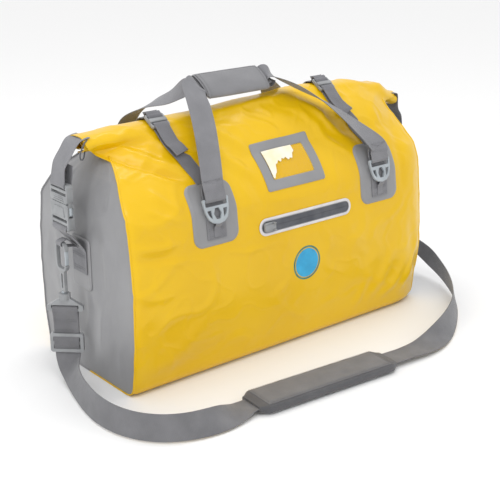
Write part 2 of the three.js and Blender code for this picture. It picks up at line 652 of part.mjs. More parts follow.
const LOCK_ANGLE = THREE.MathUtils.degToRad(32);
for (const [handName, hand] of HANDS) {
  const x = hand < 0 ? CINCH_LEFT : CINCH_RIGHT;
  const top = rollCentre(x);
  const lift = 2.4;
  const over = ROLL_HALF_HEIGHT + ROLL_SHEET / 2 + lift;
  const out = ROLL_HALF_WIDTH + ROLL_SHEET / 2 + lift;
  const foot = PATCH_TOP - 5;
  const slantTop = 36;
  const onWall = (s, side, up) => {
    const share = THREE.MathUtils.clamp((s - slantTop) / (foot - slantTop), 0, 1);
    return wall(THREE.MathUtils.lerp(x, hand * CINCH_FOOT, share), s, side, up);
  };
  const lockUp = new THREE.Vector3(0, Math.cos(LOCK_ANGLE), Math.sin(LOCK_ANGLE));
  const lockOut = new THREE.Vector3(0, -Math.sin(LOCK_ANGLE), Math.cos(LOCK_ANGLE));
  const lockPlace = new THREE.Vector3(x, -out * 0.62, top + over * 0.75 + LOCK_THICK / 2 + 1.2);
  const near = (upBy, outBy) => lockPlace.clone().addScaledVector(lockUp, upBy).addScaledVector(lockOut, outBy);
  const reach = LOCK_HEIGHT / 2 - 3;

  // Sewn at the back patch, over the roll, to the upper bar of the buckle
  const back = [
    onWall(foot, 1, lift), onWall(foot - 30, 1, lift), onWall(48, 1, lift),
    new THREE.Vector3(x, out + 2, top - 5), new THREE.Vector3(x, out * 0.72, top + over * 0.72),
    new THREE.Vector3(x, out * 0.2, top + over + 0.8), near(LOCK_HEIGHT / 2 + 7, 0.8),
    near(LOCK_HEIGHT / 2 + 1, 0),
  ];
  add(`cinch_strap_${handName}`, ribbon(
    back.map((p) => p.toArray()), back.map(() => [1, 0, 0]), WEB_NARROW, WEB_THICK, 28,
  ), webbing);

  // Sewn at the front patch, up through the buckle and folded back down over itself
  const front = [
    onWall(foot, -1, lift), onWall(foot - 26, -1, lift), onWall(52, -1, lift + 1.5),
    near(-reach - 16, -4.6), near(-reach - 5, -3.4), near(-reach + 2.5, -3.1), near(-reach + 5.6, 0),
    near(-reach + 2.5, 3.1), near(-reach - 5, 2.4), near(-reach - 18, 0), near(-reach - 30, -3.5),
  ];
  add(`cinch_tail_${handName}`, ribbon(
    front.map((p) => p.toArray()), front.map(() => [1, 0, 0]), WEB_NARROW, WEB_THICK, 32,
  ), webbing);

  const frame = roundedRect(new THREE.Shape(), 0, 0, LOCK_WIDTH, LOCK_HEIGHT, 3);
  const opening = WEB_NARROW + 2;
  frame.holes.push(roundedRect(new THREE.Path(), 0, -reach + 4.6, opening, 5.6, 1));
  frame.holes.push(roundedRect(new THREE.Path(), 0, reach - 4, opening, 5, 1));
  add(`cinch_buckle_${handName}`, stand(plate(frame, LOCK_THICK, 3), X_AXIS, lockUp, lockPlace), plastic);
}

// ---- Window, zip and badge ------------------------------------------------------------------

// A border on the front wall: a rounded rectangle with a rounded opening
function borderOn(name, centre, top, width, height, radius, border, low, thick, steps, material) {
  const outer = roundedRect(new THREE.Path(), 0, 0, width, height, radius).getSpacedPoints(steps);
  const inner = roundedRect(
    new THREE.Path(), 0, 0, width - 2 * border, height - 2 * border, Math.max(1, radius - border * 0.6),
  ).getSpacedPoints(steps);
  add(name, slab(steps, 1, (u, v) => {
    const i = Math.round(u * steps) % steps;
    const p = v < 0.5 ? outer[i] : inner[i];
    return wallPair(centre + p.x, top + height / 2 - p.y, -1, low, thick);
  }, true), material);
}

const paneLow = GAP;
const frameLow = paneLow + PANE_THICK + PANE_ROOM;
const paneWidth = WINDOW_WIDTH - WINDOW_BORDER;
const paneHeight = WINDOW_HEIGHT - WINDOW_BORDER;
const paneTop = WINDOW_TOP + WINDOW_BORDER / 2;
patchOn('window_pane', WINDOW_X, paneTop, paneWidth, paneHeight, 3, -1, paneLow, PANE_THICK, clearFilm);
borderOn('window_frame', WINDOW_X, WINDOW_TOP, WINDOW_WIDTH, WINDOW_HEIGHT, 5, WINDOW_BORDER, frameLow,
  PATCH_THICK, 48, greySkin);

const tapeWidth = ZIP_LENGTH - 2 * ZIP_BORDER + 4;
const tapeHeight = ZIP_HEIGHT - 2 * ZIP_BORDER + 4;
patchOn('zip_tape', ZIP_X, ZIP_TOP + ZIP_BORDER - 2, tapeWidth, tapeHeight, tapeHeight / 2 - 0.1, -1, GAP,
  ZIP_TAPE_THICK, darkTape);
const surroundLow = 2 * GAP + ZIP_TAPE_THICK;
borderOn('zip_surround', ZIP_X, ZIP_TOP, ZIP_LENGTH, ZIP_HEIGHT, ZIP_HEIGHT / 2 - 0.1, ZIP_BORDER, surroundLow,
  PATCH_THICK, 56, palePlastic);

// The slider stands in the slot of the surround, closed at the left end; its pull folds flat on it
const zipMiddle = ZIP_TOP + ZIP_HEIGHT / 2;
const zipUp = wallUp(ZIP_X, zipMiddle, -1);
const zipOut = new THREE.Vector3().crossVectors(X_AXIS, zipUp);
const sliderX = ZIP_X - ZIP_LENGTH / 2 + ZIP_BORDER + SLIDER_LENGTH / 2 + 3;
const zipSpot = (x, up, out) => wall(x, zipMiddle, -1, 0).addScaledVector(zipUp, up).addScaledVector(zipOut, out);
const sliderLift = 2 * GAP + ZIP_TAPE_THICK + 0.6 + SLIDER_THICK / 2;
const LUG = 3.6;               // the bridge that holds the pull stands this far off the slider
const PULL_EYE = 0.8;          // from the pull's end to its pin
const lugX = SLIDER_LENGTH / 2 - 4;
const sliderBody = plate(roundedRect(new THREE.Shape(), 0, 0, SLIDER_LENGTH, SLIDER_HEIGHT, 4), SLIDER_THICK, 4);
const sliderLugs = [-1, 1].map((way) => box(
  5, 1.6, LUG + 0.5, lugX, way * (PULL_WIDTH / 2 + 1.3), SLIDER_THICK / 2 + LUG / 2 - 0.25,
));
add('zip_slider', stand(join([sliderBody, ...sliderLugs]), X_AXIS, zipUp, zipSpot(sliderX, 0, sliderLift)), plastic);
const pullLift = sliderLift + SLIDER_THICK / 2 + 2 * GAP + PULL_THICK / 2;
const pullShape = roundedRect(new THREE.Shape(), PULL_EYE - PULL_LENGTH / 2, 0, PULL_LENGTH, PULL_WIDTH, 3);
add('zip_pull', stand(plate(pullShape, PULL_THICK, 4), X_AXIS, zipUp, zipSpot(sliderX + lugX, 0, pullLift)), plastic);

patchOn('front_badge', BADGE_X, BADGE_S - BADGE_SIZE / 2, BADGE_SIZE, BADGE_SIZE, BADGE_SIZE / 2 - 0.5, -1, GAP,
  BADGE_THICK, print);

// ---- End hardware ---------------------------------------------------------------------------

function socketGeometry() {
  const foot = -SOCKET_HEIGHT / 2;
  const shell = plate(roundedRect(new THREE.Shape(), 0, 0, BUCKLE_WIDTH, SOCKET_HEIGHT, 5), BUCKLE_THICK, 4);
  const slotHeight = WEB_THICK + SLOT_CLEAR + 1.5;
  const opening = WEB_WIDE + 2;
  const cavityDepth = PRONG_LENGTH + 2;
  const cavityWidth = BUCKLE_WIDTH + 2;
  return cut(shell, [
    box(opening, slotHeight, BUCKLE_THICK + 2, 0, foot + 4 + slotHeight / 2, 0),
    box(opening, slotHeight, BUCKLE_THICK + 2, 0, foot + 8 + 1.5 * slotHeight, 0),
    box(cavityWidth, cavityDepth + 1, BUCKLE_THICK - 4.4, 0, SOCKET_HEIGHT / 2 - cavityDepth / 2 + 0.5, 0),
  ]);
}

function plugGeometry() {
  const foot = -PLUG_HEIGHT / 2;
  const head = plate(roundedRect(new THREE.Shape(), 0, 0, BUCKLE_WIDTH, PLUG_HEIGHT, 5), BUCKLE_THICK - 1, 4);
  const slotHeight = WEB_THICK + SLOT_CLEAR + 1.5;
  const opening = WEB_WIDE + 2;
  const slotted = cut(head, [
    box(opening, slotHeight, BUCKLE_THICK, 0, PLUG_HEIGHT / 2 - 4 - slotHeight / 2, 0),
    box(opening, slotHeight, BUCKLE_THICK, 0, PLUG_HEIGHT / 2 - 8 - 1.5 * slotHeight, 0),
  ]);
  const prongThick = BUCKLE_THICK - 4.4 - 1.2;
  const prong = (x, width) => box(width, PRONG_LENGTH + 2, prongThick, x, foot - PRONG_LENGTH / 2 + 1, 0);
  return join([slotted, prong(-BUCKLE_WIDTH / 2 + 4, 6), prong(0, 6), prong(BUCKLE_WIDTH / 2 - 4, 6)]);
}

// A loop with a gap for its gate, a slotted neck below it, and the round stem that the head turns on
function hookGeometry() {
  const half = HOOK_WIDTH / 2;
  const outline = roundedRect(new THREE.Shape(), 0, 0, HOOK_WIDTH, HOOK_LOOP, half - 1);
  outline.holes.push(roundedRect(
    new THREE.Path(), 0, 0, HOOK_WIDTH - 2 * HOOK_BAR, HOOK_LOOP - 2 * HOOK_BAR, 5,
  ));
  const neckTop = -HOOK_LOOP / 2 + 3;
  const neckFoot = HEAD_TOP + 2 - (HOOK_TOP - HOOK_LOOP / 2);
  const neckHeight = neckTop - neckFoot;
  const neckShape = roundedRect(new THREE.Shape(), 0, neckFoot + neckHeight / 2, STEM_PLATE, neckHeight, 2);
  neckShape.holes.push(roundedRect(
    new THREE.Path(), 0, neckFoot + neckHeight / 2, STEM_PLATE - 8, neckHeight - 12, 1.9,
  ));
  const stemLength = STEM_GRIP + 4;
  const stem = new THREE.CylinderGeometry(STEM_RADIUS, STEM_RADIUS, stemLength, 16);
  stem.translate(0, neckFoot + 2 - stemLength / 2, 0);
  const gateGap = box(HOOK_BAR + 4, HOOK_GATE + 2 * GAP, HOOK_THICK + 2, half - HOOK_BAR / 2 + 1, 0, 0);
  return cut(join([plate(outline, HOOK_THICK, 5), plate(neckShape, HOOK_THICK - 1, 4), stem]), [gateGap]);
}

// A barrel round the stem over a wide loop that the strap goes through
function headGeometry() {
  const half = HEAD_WIDTH / 2;
  const top = HEAD_HEIGHT / 2;
  const outline = new THREE.Shape();
  outline.moveTo(-half, -top + 3);
  outline.quadraticCurveTo(-half, -top, -half + 3, -top);
  outline.lineTo(half - 3, -top);
  outline.quadraticCurveTo(half, -top, half, -top + 3);
  outline.lineTo(half, -top + 8);
  outline.lineTo(8, top - 8);
  outline.lineTo(8, top);
  outline.lineTo(-8, top);
  outline.lineTo(-8, top - 8);
  outline.lineTo(-half, -top + 8);
  outline.holes.push(roundedRect(new THREE.Path(), 0, -top + 4 + 3, WEB_WIDE + 3, 5, 1));
  const body = plate(outline, HEAD_THICK, 4);
  const barrel = new THREE.CylinderGeometry(8, 8, 10, 16).translate(0, top - 5, 0);
  const bore = new THREE.CylinderGeometry(STEM_RADIUS + 0.4, STEM_RADIUS + 0.4, 16, 16).translate(0, top - 2, 0);
  return cut(join([body, barrel]), [bore]);
}

for (const [handName, hand] of HANDS) {
  const face = hand * LENGTH / 2;
  const at = (out, y, z) => new THREE.Vector3(face + hand * out, y, z);
  const width = Y_AXIS.clone().multiplyScalar(hand);
  const standAt = (geometry, place) => stand(geometry, width, Z_AXIS, place);

  // Reinforcement welded on the end panel
  const patch = roundedRect(new THREE.Shape(), 0, 0, END_PATCH_WIDTH, END_PATCH_HEIGHT, 8);
  const patchOut = GAP + PATCH_THICK / 2;
  add(`end_patch_${handName}`,
    standAt(plate(patch, PATCH_THICK, 4), at(patchOut, 0, END_PATCH_FOOT + END_PATCH_HEIGHT / 2)), greySkin);

  // Side-release buckle: the socket below, the plug above it
  const buckleOut = hand < 0 ? BUCKLE_OUT_LEFT : BUCKLE_OUT_RIGHT;
  const buckleFoot = hand < 0 ? BUCKLE_FOOT_LEFT : BUCKLE_FOOT_RIGHT;
  const socketZ = buckleFoot + SOCKET_HEIGHT / 2;
  add(`buckle_socket_${handName}`, standAt(socketGeometry(), at(buckleOut, 0, socketZ)), plastic);
  const plugFoot = buckleFoot + SOCKET_HEIGHT + 2 * GAP;
  add(`buckle_plug_${handName}`,
    standAt(plugGeometry(), at(buckleOut, 0, plugFoot + PLUG_HEIGHT / 2)), plastic);

  // From the end of the roll down to the upper bars of the plug
  const rollEnd = hand * (ROLL_LENGTH / 2 + GAP + 0.4);
  const rollZ = rollCentre(rollEnd);
  const plugTop = plugFoot + PLUG_HEIGHT;
  const spread = buckleOut - 7;
  const drop = [
    [rollEnd, 0, rollZ + 2], [rollEnd + hand * spread / 2, 0, rollZ + 1],
    [rollEnd + hand * spread, 0, rollZ - 8 - (BUCKLE_OUT_LEFT - buckleOut) / 2],
    at(buckleOut - 1, 0, (rollZ + plugTop) / 2).toArray(), at(buckleOut, 0, plugTop + GAP + 0.6).toArray(),
  ];
  add(`roll_strap_${handName}`, ribbon(drop, drop.map(() => [0, 1, 0]), WEB_WIDE, WEB_THICK, 14), webbing);

  // From the lower bar of the socket in to the patch, its cut end hanging free
  const sewn = patchOut + PATCH_THICK / 2 + WEB_THICK / 2 + GAP;
  const hang = [
    at(buckleOut, 0, buckleFoot - GAP - 0.4), at(sewn + (buckleOut - sewn) * 0.8, 0, buckleFoot - 9),
    at(sewn + (buckleOut - sewn) * 0.35, 0, buckleFoot - 24), at(sewn + 1, 0, buckleFoot - 36),
    at(sewn, 0, buckleFoot - 46), at(sewn, 0, Math.max(buckleFoot - 73, END_PATCH_FOOT + 6)),
  ];
  add(`end_strap_${handName}`, ribbon(
    hang.map((p) => p.toArray()), hang.map(() => [0, 1, 0]), WEB_WIDE, WEB_THICK, 14,
  ), webbing);

  // Narrow webbing loop that the snap hook bites
  const loopCentre = at(HOOK_OUT, 0, LOOP_Z);
  const loopRing = 5.2;
  const strapFace = hand < 0 ? LOOP_START_LEFT : LOOP_START_RIGHT;
  const loop = [
    at(strapFace, 0, LOOP_Z - 9).toArray(), at(HOOK_OUT - 11, 0, LOOP_Z - 6.4).toArray(),
    at(HOOK_OUT - 2, 0, LOOP_Z - loopRing).toArray(),
    [loopCentre.x + hand * 4.4, 0, LOOP_Z - 2.8], [loopCentre.x + hand * loopRing, 0, LOOP_Z],
    [loopCentre.x + hand * 4.4, 0, LOOP_Z + 2.8],
    at(HOOK_OUT - 2, 0, LOOP_Z + loopRing).toArray(), at(HOOK_OUT - 8, 0, LOOP_Z + 4.4).toArray(),
  ];
  add(`hook_loop_${handName}`, ribbon(loop, loop.map(() => [0, 1, 0]), LOOP_WIDTH, 1.1, 24), webbing);

  const hookZ = HOOK_TOP - HOOK_LOOP / 2;
  add(`snap_hook_${handName}`, standAt(hookGeometry(), at(HOOK_OUT, 0, hookZ)), plastic);
  const gateShape = roundedRect(new THREE.Shape(), 0, HOOK_GATE / 2, HOOK_BAR - 1.4, HOOK_GATE, 1.4);
  const gateX = HOOK_WIDTH / 2 - HOOK_BAR / 2;
  const gatePlace = at(HOOK_OUT, hand * gateX, hookZ - HOOK_GATE / 2);
  add(`hook_gate_${handName}`, standAt(plate(gateShape, HOOK_THICK - 1, 3), gatePlace), palePlastic);

  const turn = hand < 0 ? HEAD_TURN_LEFT : HEAD_TURN_RIGHT;
  const headWidth = width.clone().applyAxisAngle(Z_AXIS, turn);
  const headPlace = at(HOOK_OUT, 0, HEAD_TOP - HEAD_HEIGHT / 2);
  add(`hook_head_${handName}`, stand(headGeometry(), headWidth, Z_AXIS, headPlace), plastic);
}

// ---- Shoulder strap -------------------------------------------------------------------------
// It hangs from the left hook, turns over the floor on its edge, lies flat through the pad, and
// stands up again on its way to the right hook. Each row is a point and the direction of its width.

const strapX = LENGTH / 2 + HOOK_OUT;
const strapTop = HEAD_TOP - HEAD_HEIGHT - GAP - 0.7;
const hangLeft = Y_AXIS.clone().applyAxisAngle(Z_AXIS, HEAD_TURN_LEFT).toArray();
const hangRight = Y_AXIS.clone().applyAxisAngle(Z_AXIS, HEAD_TURN_RIGHT).toArray();
const STRAP = [
  [[-strapX, 0, strapTop], hangLeft],
  [[-strapX, 0, 88], hangLeft],
  [[-strapX, 0, 60], hangLeft],
  [[-strapX, -0.4, 44], [-0.72, 0.69, 0]],
  [[-355, -8, 32.5], [-0.66, 0.62, -0.36]],
  [[-361, -24, 25.5], [-0.5, 0.45, -0.74]],
  [[-370, -46, 22.5], [-0.36, 0.2, -0.9]],
  [[-380, -77, 21], [-0.3, 0, -0.95]],
  [[-388, -112, 20.5], [-0.28, 0, -0.96]],
  [[-392, -148, 20.5], [-0.28, 0, -0.96]],
  [[-389, -184, 20.5], [-0.25, -0.12, -0.96]],
  [[-377, -217, 20.5], [-0.2, -0.2, -0.96]],
  [[-356, -244, 20.5], [-0.15, -0.28, -0.95]],
  [[-328, -261, 20], [-0.1, -0.35, -0.92]],
  [[-296, -268, 18.5], [0, -0.5, -0.85]],
  [[-264, -266, 15], [0, -0.75, -0.62]],
  [[-237, -258.5, 10.5], [0, -0.95, -0.25]],
  [[-215, -252.5, 8.4], [-0.05, -1, 0]],
  [[-185, -253, 8.3], [-0.07, -1, 0]],
  [[-105, -259.2, 8.3], [-0.07, -1, 0]],
  [[-25, -265.3, 8.3], [-0.07, -1, 0]],
  [[60, -271.9, 8.3], [-0.07, -1, 0]],
  [[92, -274.5, 8.5], [0, -1, 0]],
  [[126, -276, 9.5], [0.05, -0.97, -0.15]],
  [[160, -272, 12], [0.1, -0.85, -0.45]],
  [[194, -262, 16], [0.2, -0.6, -0.75]],
  [[228, -246, 19.5], [0.25, -0.35, -0.9]],
  [[262, -224, 20.5], [0.22, -0.2, -0.95]],
  [[296, -196, 20.5], [0.2, -0.15, -0.96]],
  [[326, -165, 21], [0.2, -0.1, -0.96]],
  [[352, -130, 24], [0.2, 0, -0.95]],
  [[370, -94, 31], [0.2, 0.15, -0.92]],
  [[377, -60, 43], [0.15, 0.45, -0.8]],
  [[371, -30, 60], [0.2, 0.75, -0.5]],
  [[358, -7, 78], [0.3, 0.93, -0.1]],
  [[strapX, 0, 95], hangRight],
  [[strapX, 0, strapTop], hangRight],
];
const strapPoints = STRAP.map(([point]) => point);
const strapAcross = STRAP.map(([, across]) => across);
add('shoulder_strap', ribbon(strapPoints, strapAcross, WEB_WIDE, WEB_THICK + 0.4, 66, true), webbing);

// Sliding adjuster round the strap under the left hook
const glideShape = roundedRect(new THREE.Shape(), 0, 0, GLIDE_WIDTH, GLIDE_HEIGHT, 4);
const glideWindow = (GLIDE_HEIGHT - 2 * GLIDE_BAR - GLIDE_MIDDLE_BAR) / 2;
for (const way of [-1, 1]) {
  glideShape.holes.push(roundedRect(
    new THREE.Path(), 0, way * (GLIDE_MIDDLE_BAR + glideWindow) / 2, WEB_WIDE + 2, glideWindow, 1.5,
  ));
}
const glideSlot = cut(plate(glideShape, GLIDE_THICK, 4), [
  box(WEB_WIDE + 2, GLIDE_HEIGHT + 2, WEB_THICK + 2, 0, 0, 0),
]);
const glideAcross = Y_AXIS.clone().negate().applyAxisAngle(Z_AXIS, HEAD_TURN_LEFT);
add('strap_adjuster', stand(glideSlot, glideAcross, Z_AXIS, new THREE.Vector3(-strapX, 0, GLIDE_Z)), plastic);

// Pad: a flattened tube that the strap runs through
const padStart = new THREE.Vector3(-205, -251.5, 0);
const padAlong = new THREE.Vector3(260, -20, 0).normalize();
const padAcross = new THREE.Vector3().crossVectors(Z_AXIS, padAlong);
add('shoulder_pad', slab(16, 8, (u, v) => {
  const angle = 2 * Math.PI * u;
  const end = Math.min(1, Math.min(v, 1 - v) * 10 + 0.45);
  const flat = (value) => Math.sign(value) * Math.abs(value) ** 0.45;
  const point = (half, high) => padStart.clone().addScaledVector(padAlong, v * PAD_LENGTH)
    .addScaledVector(padAcross, half * flat(Math.cos(angle)))
    .setZ(PAD_THICK / 2 + GAP + 1 + high * flat(Math.sin(angle)));
  return [
    point((PAD_WIDTH / 2) * (0.8 + 0.2 * end), (PAD_THICK / 2) * (0.7 + 0.3 * end)),
    point(WEB_WIDE / 2 + 1.5, PAD_CHANNEL / 2),
  ];
}, true), padCloth);

export default bag;
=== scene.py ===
# Roll-top duffel bag in coated fabric, with webbing handles, a hand grip and a padded shoulder strap.
# Metres, +Z up, the front towards -Y and the origin on the floor under the middle of the bag.
import json
import math
from functools import lru_cache

import bmesh
import bpy
from mathutils import Matrix, Vector, noise

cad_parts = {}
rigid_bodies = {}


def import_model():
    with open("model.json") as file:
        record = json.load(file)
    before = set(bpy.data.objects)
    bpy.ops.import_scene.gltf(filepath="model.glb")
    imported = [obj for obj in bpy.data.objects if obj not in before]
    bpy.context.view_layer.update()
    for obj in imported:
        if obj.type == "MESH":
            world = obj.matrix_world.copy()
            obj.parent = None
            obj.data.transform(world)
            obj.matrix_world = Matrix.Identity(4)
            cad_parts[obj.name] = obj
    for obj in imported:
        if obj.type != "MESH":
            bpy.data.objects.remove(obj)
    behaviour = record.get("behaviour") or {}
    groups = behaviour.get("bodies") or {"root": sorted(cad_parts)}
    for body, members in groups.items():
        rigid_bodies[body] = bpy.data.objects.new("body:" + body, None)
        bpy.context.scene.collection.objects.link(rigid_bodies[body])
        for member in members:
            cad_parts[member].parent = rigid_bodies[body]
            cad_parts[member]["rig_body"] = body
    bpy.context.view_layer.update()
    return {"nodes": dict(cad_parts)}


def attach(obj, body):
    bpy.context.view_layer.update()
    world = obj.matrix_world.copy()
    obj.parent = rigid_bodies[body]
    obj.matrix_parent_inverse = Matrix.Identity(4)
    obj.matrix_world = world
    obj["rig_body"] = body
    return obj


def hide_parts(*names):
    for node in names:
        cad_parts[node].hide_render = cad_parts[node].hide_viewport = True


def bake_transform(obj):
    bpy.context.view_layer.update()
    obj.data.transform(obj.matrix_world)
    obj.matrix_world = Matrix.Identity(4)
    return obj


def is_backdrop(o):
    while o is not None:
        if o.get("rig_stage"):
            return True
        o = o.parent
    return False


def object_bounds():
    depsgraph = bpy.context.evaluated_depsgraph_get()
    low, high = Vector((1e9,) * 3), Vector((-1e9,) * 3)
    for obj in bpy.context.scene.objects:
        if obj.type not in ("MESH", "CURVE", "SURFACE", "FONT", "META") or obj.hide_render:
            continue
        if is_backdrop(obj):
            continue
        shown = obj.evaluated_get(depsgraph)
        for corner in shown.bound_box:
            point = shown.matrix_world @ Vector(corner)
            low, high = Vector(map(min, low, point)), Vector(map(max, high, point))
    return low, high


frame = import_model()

X_AXIS = Vector((1, 0, 0))
Y_AXIS = Vector((0, 1, 0))
Z_AXIS = Vector((0, 0, 1))

# ---- Camera, light and floor ----------------------------------------------------------------
# A product shot: long lens, seen from the left-hand front corner and a little above.
# A white floor and white surroundings, with two large softboxes that put broad shines on the skin.

CAMERA_PLACE = Vector((-1.0851, -1.3159, 0.7409))
CAMERA_TURN = math.radians(39.5)
CAMERA_DROP = math.radians(19.9)
LENS = 78.7

camera_data = bpy.data.cameras.new("camera")
camera_data.lens = LENS
camera_data.clip_start = 0.05
camera = bpy.data.objects.new("camera", camera_data)
bpy.context.scene.collection.objects.link(camera)
gaze = Vector((
    math.sin(CAMERA_TURN) * math.cos(CAMERA_DROP),
    math.cos(CAMERA_TURN) * math.cos(CAMERA_DROP),
    -math.sin(CAMERA_DROP),
))
camera.location = CAMERA_PLACE
camera.rotation_euler = gaze.to_track_quat("-Z", "Y").to_euler()
bpy.context.scene.camera = camera
bpy.context.scene.view_settings.view_transform = "Standard"


def softbox(name, place, aim, size, power):
    data = bpy.data.lights.new(name, "AREA")
    data.shape = "RECTANGLE"
    data.size, data.size_y = size
    data.energy = power
    lamp = bpy.data.objects.new(name, data)
    lamp.location = place
    lamp.rotation_euler = (Vector(aim) - Vector(place)).to_track_quat("-Z", "Y").to_euler()
    bpy.context.scene.collection.objects.link(lamp)


softbox("key_softbox", (-0.9, -1.1, 2.3), (0, 0, 0.2), (1.2, 0.7), 10)
softbox("side_softbox", (-2.4, -0.3, 1.1), (0, 0, 0.25), (0.5, 1.4), 6)
softbox("top_strip", (0.3, 0.5, 2.2), (0, 0, 0.3), (2.0, 0.3), 8)

world = bpy.data.worlds.new("studio")
world.use_nodes = True
world.node_tree.nodes["Background"].inputs["Color"].default_value = (1, 1, 1, 1)
world.node_tree.nodes["Background"].inputs["Strength"].default_value = 0.97
bpy.context.scene.world = world

bpy.ops.object.select_all(action="DESELECT")
bpy.ops.mesh.primitive_plane_add(size=40, location=(0, 0, -0.0005))
floor = bpy.context.object
floor.name = "floor"
floor_paint = bpy.data.materials.new("floor_paint")
floor_paint.use_nodes = True
floor_shader = floor_paint.node_tree.nodes["Principled BSDF"]
floor_shader.inputs["Base Color"].default_value = (0.93, 0.93, 0.93, 1)
floor_shader.inputs["Roughness"].default_value = 0.9
floor.data.materials.append(floor_paint)
floor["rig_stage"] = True

# ---- Shoulder strap -------------------------------------------------------------------------
# One length of 38 mm nylon webbing. It hangs from the left hook, runs over the floor on its edge,
# through the pad, and back up to the right hook. Its edges are woven over and a little rounder.

WEB_WIDE = 0.038
STRAP_THICK = 0.0018
HEAD_TURN_LEFT = math.radians(46)
HEAD_TURN_RIGHT = math.radians(-20)


def rgb(red, green, blue):
    """A colour of a swatch, 0 to 255, as the shader wants it"""
    return tuple(((c / 255 + 0.055) / 1.055) ** 2.4 for c in (red, green, blue)) + (1,)


class Finish:
    """A material under construction: its nodes, its shader, and short ways of joining them"""

    def __init__(self, name, roughness, **settings):
        self.material = bpy.data.materials.new(name)
        self.material.use_nodes = True
        self.tree = self.material.node_tree
        self.shader = self.tree.nodes["Principled BSDF"]
        self.shader.inputs["Roughness"].default_value = roughness
        for socket, value in settings.items():
            self.shader.inputs[socket.replace("_", " ")].default_value = value
        self.place = self.tree.nodes.new("ShaderNodeTexCoord")

    def math(self, operation, a, b=None):
        node = self.tree.nodes.new("ShaderNodeMath")
        node.operation = operation
        for socket, value in zip(node.inputs, (a, b)):
            if isinstance(value, (int, float)):
                socket.default_value = value
            elif value is not None:
                self.tree.links.new(value, socket)
        return node.outputs[0]

    def noise(self, scale, detail=2.0, roughness=0.5, stretch=None):
        node = self.tree.nodes.new("ShaderNodeTexNoise")
        node.inputs["Scale"].default_value = scale
        node.inputs["Detail"].default_value = detail
        node.inputs["Roughness"].default_value = roughness
        vector = self.place.outputs["Object"]
        if stretch:
            mapping = self.tree.nodes.new("ShaderNodeMapping")
            mapping.inputs["Scale"].default_value = stretch
            self.tree.links.new(vector, mapping.inputs["Vector"])
            vector = mapping.outputs["Vector"]
        self.tree.links.new(vector, node.inputs["Vector"])
        return node.outputs["Fac"]

    def weave(self, across, along):
        """Plain weave of that pitch in metres, from the piece's UV map, 0 to 1"""
        split = self.tree.nodes.new("ShaderNodeSeparateXYZ")
        self.tree.links.new(self.place.outputs["UV"], split.inputs[0])
        warp = self.math("SINE", self.math("MULTIPLY", split.outputs[0], 2 * math.pi / across))
        weft = self.math("SINE", self.math("MULTIPLY", split.outputs[1], 2 * math.pi / along))
        product = self.math("MULTIPLY", warp, weft)
        return self.math("ADD", self.math("MULTIPLY", product, 0.5), 0.5)

    def ramp(self, factor, stops):
        node = self.tree.nodes.new("ShaderNodeValToRGB")
        ramp = node.color_ramp
        while len(ramp.elements) < len(stops):
            ramp.elements.new(0.5)
        for element, (place, colour) in zip(ramp.elements, stops):
            element.position = place
            element.color = colour
        self.tree.links.new(factor, node.inputs["Fac"])
        return node.outputs["Color"]

    def colour(self, output):
        self.tree.links.new(output, self.shader.inputs["Base Color"])

    def rough(self, factor, low, high):
        node = self.tree.nodes.new("ShaderNodeMapRange")
        node.inputs["To Min"].default_value = low
        node.inputs["To Max"].default_value = high
        self.tree.links.new(factor, node.inputs["Value"])
        self.tree.links.new(node.outputs["Result"], self.shader.inputs["Roughness"])

    def bump(self, *layers):
        """Each layer is a height from 0 to 1 and its depth in metres"""
        normal = None
        for height, depth in layers:
            node = self.tree.nodes.new("ShaderNodeBump")
            node.inputs["Distance"].default_value = depth
            self.tree.links.new(height, node.inputs["Height"])
            if normal:
                self.tree.links.new(normal, node.inputs["Normal"])
            normal = node.outputs["Normal"]
        self.tree.links.new(normal, self.shader.inputs["Normal"])


def woven(name, dark, light, across, along, depth, roughness=0.82):
    finish = Finish(name, roughness, Sheen_Weight=0.25, Sheen_Roughness=0.45)
    threads = finish.weave(across, along)
    patches = finish.noise(38, 3)
    mix = finish.math("ADD", finish.math("MULTIPLY", threads, 0.5), finish.math("MULTIPLY", patches, 0.5))
    finish.colour(finish.ramp(mix, [(0.25, dark), (0.8, light)]))
    finish.bump((threads, depth), (finish.noise(900, 1), depth * 0.4))
    return finish.material


strap_webbing = woven("strap_webbing", rgb(96, 96, 99), rgb(132, 132, 135), 0.0016, 0.0026, 0.00025)


def smooth_route(points, steps):
    """A curve through points (vectors of any length), as steps + 1 of them"""
    dense = []
    spans = len(points) - 1
    for k in range(steps + 1):
        at = k / steps * spans
        i = min(int(at), spans - 1)
        t = at - i
        b, c = points[i], points[i + 1]
        a = points[i - 1] if i > 0 else b * 2 - c
        d = points[i + 2] if i + 2 <= spans else c * 2 - b
        dense.append(0.5 * (2 * b + (c - a) * t + (2 * a - 5 * b + 4 * c - d) * t * t
                            + (3 * b - a - 3 * c + d) * t ** 3))
    return dense


def new_piece(name, points, faces, material, body, uv=None, crease=40):
    """A mesh object from its corners and faces, outward and smooth except over sharp edges"""
    mesh = bpy.data.meshes.new(name)
    mesh.from_pydata([tuple(p) for p in points], [], faces)
    if uv:
        layer = mesh.uv_layers.new(name="UVMap")
        for loop in mesh.loops:
            layer.data[loop.index].uv = uv[loop.vertex_index]
    made = bmesh.new()
    made.from_mesh(mesh)
    bmesh.ops.recalc_face_normals(made, faces=made.faces)
    made.to_mesh(mesh)
    made.free()
    mesh.materials.append(material)
    piece = bpy.data.objects.new(name, mesh)
    bpy.context.scene.collection.objects.link(piece)
    bpy.ops.object.select_all(action="DESELECT")
    piece.select_set(True)
    bpy.context.view_layer.objects.active = piece
    bpy.ops.object.shade_smooth_by_angle(angle=math.radians(crease))
    if body:
        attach(piece, body)
    return piece


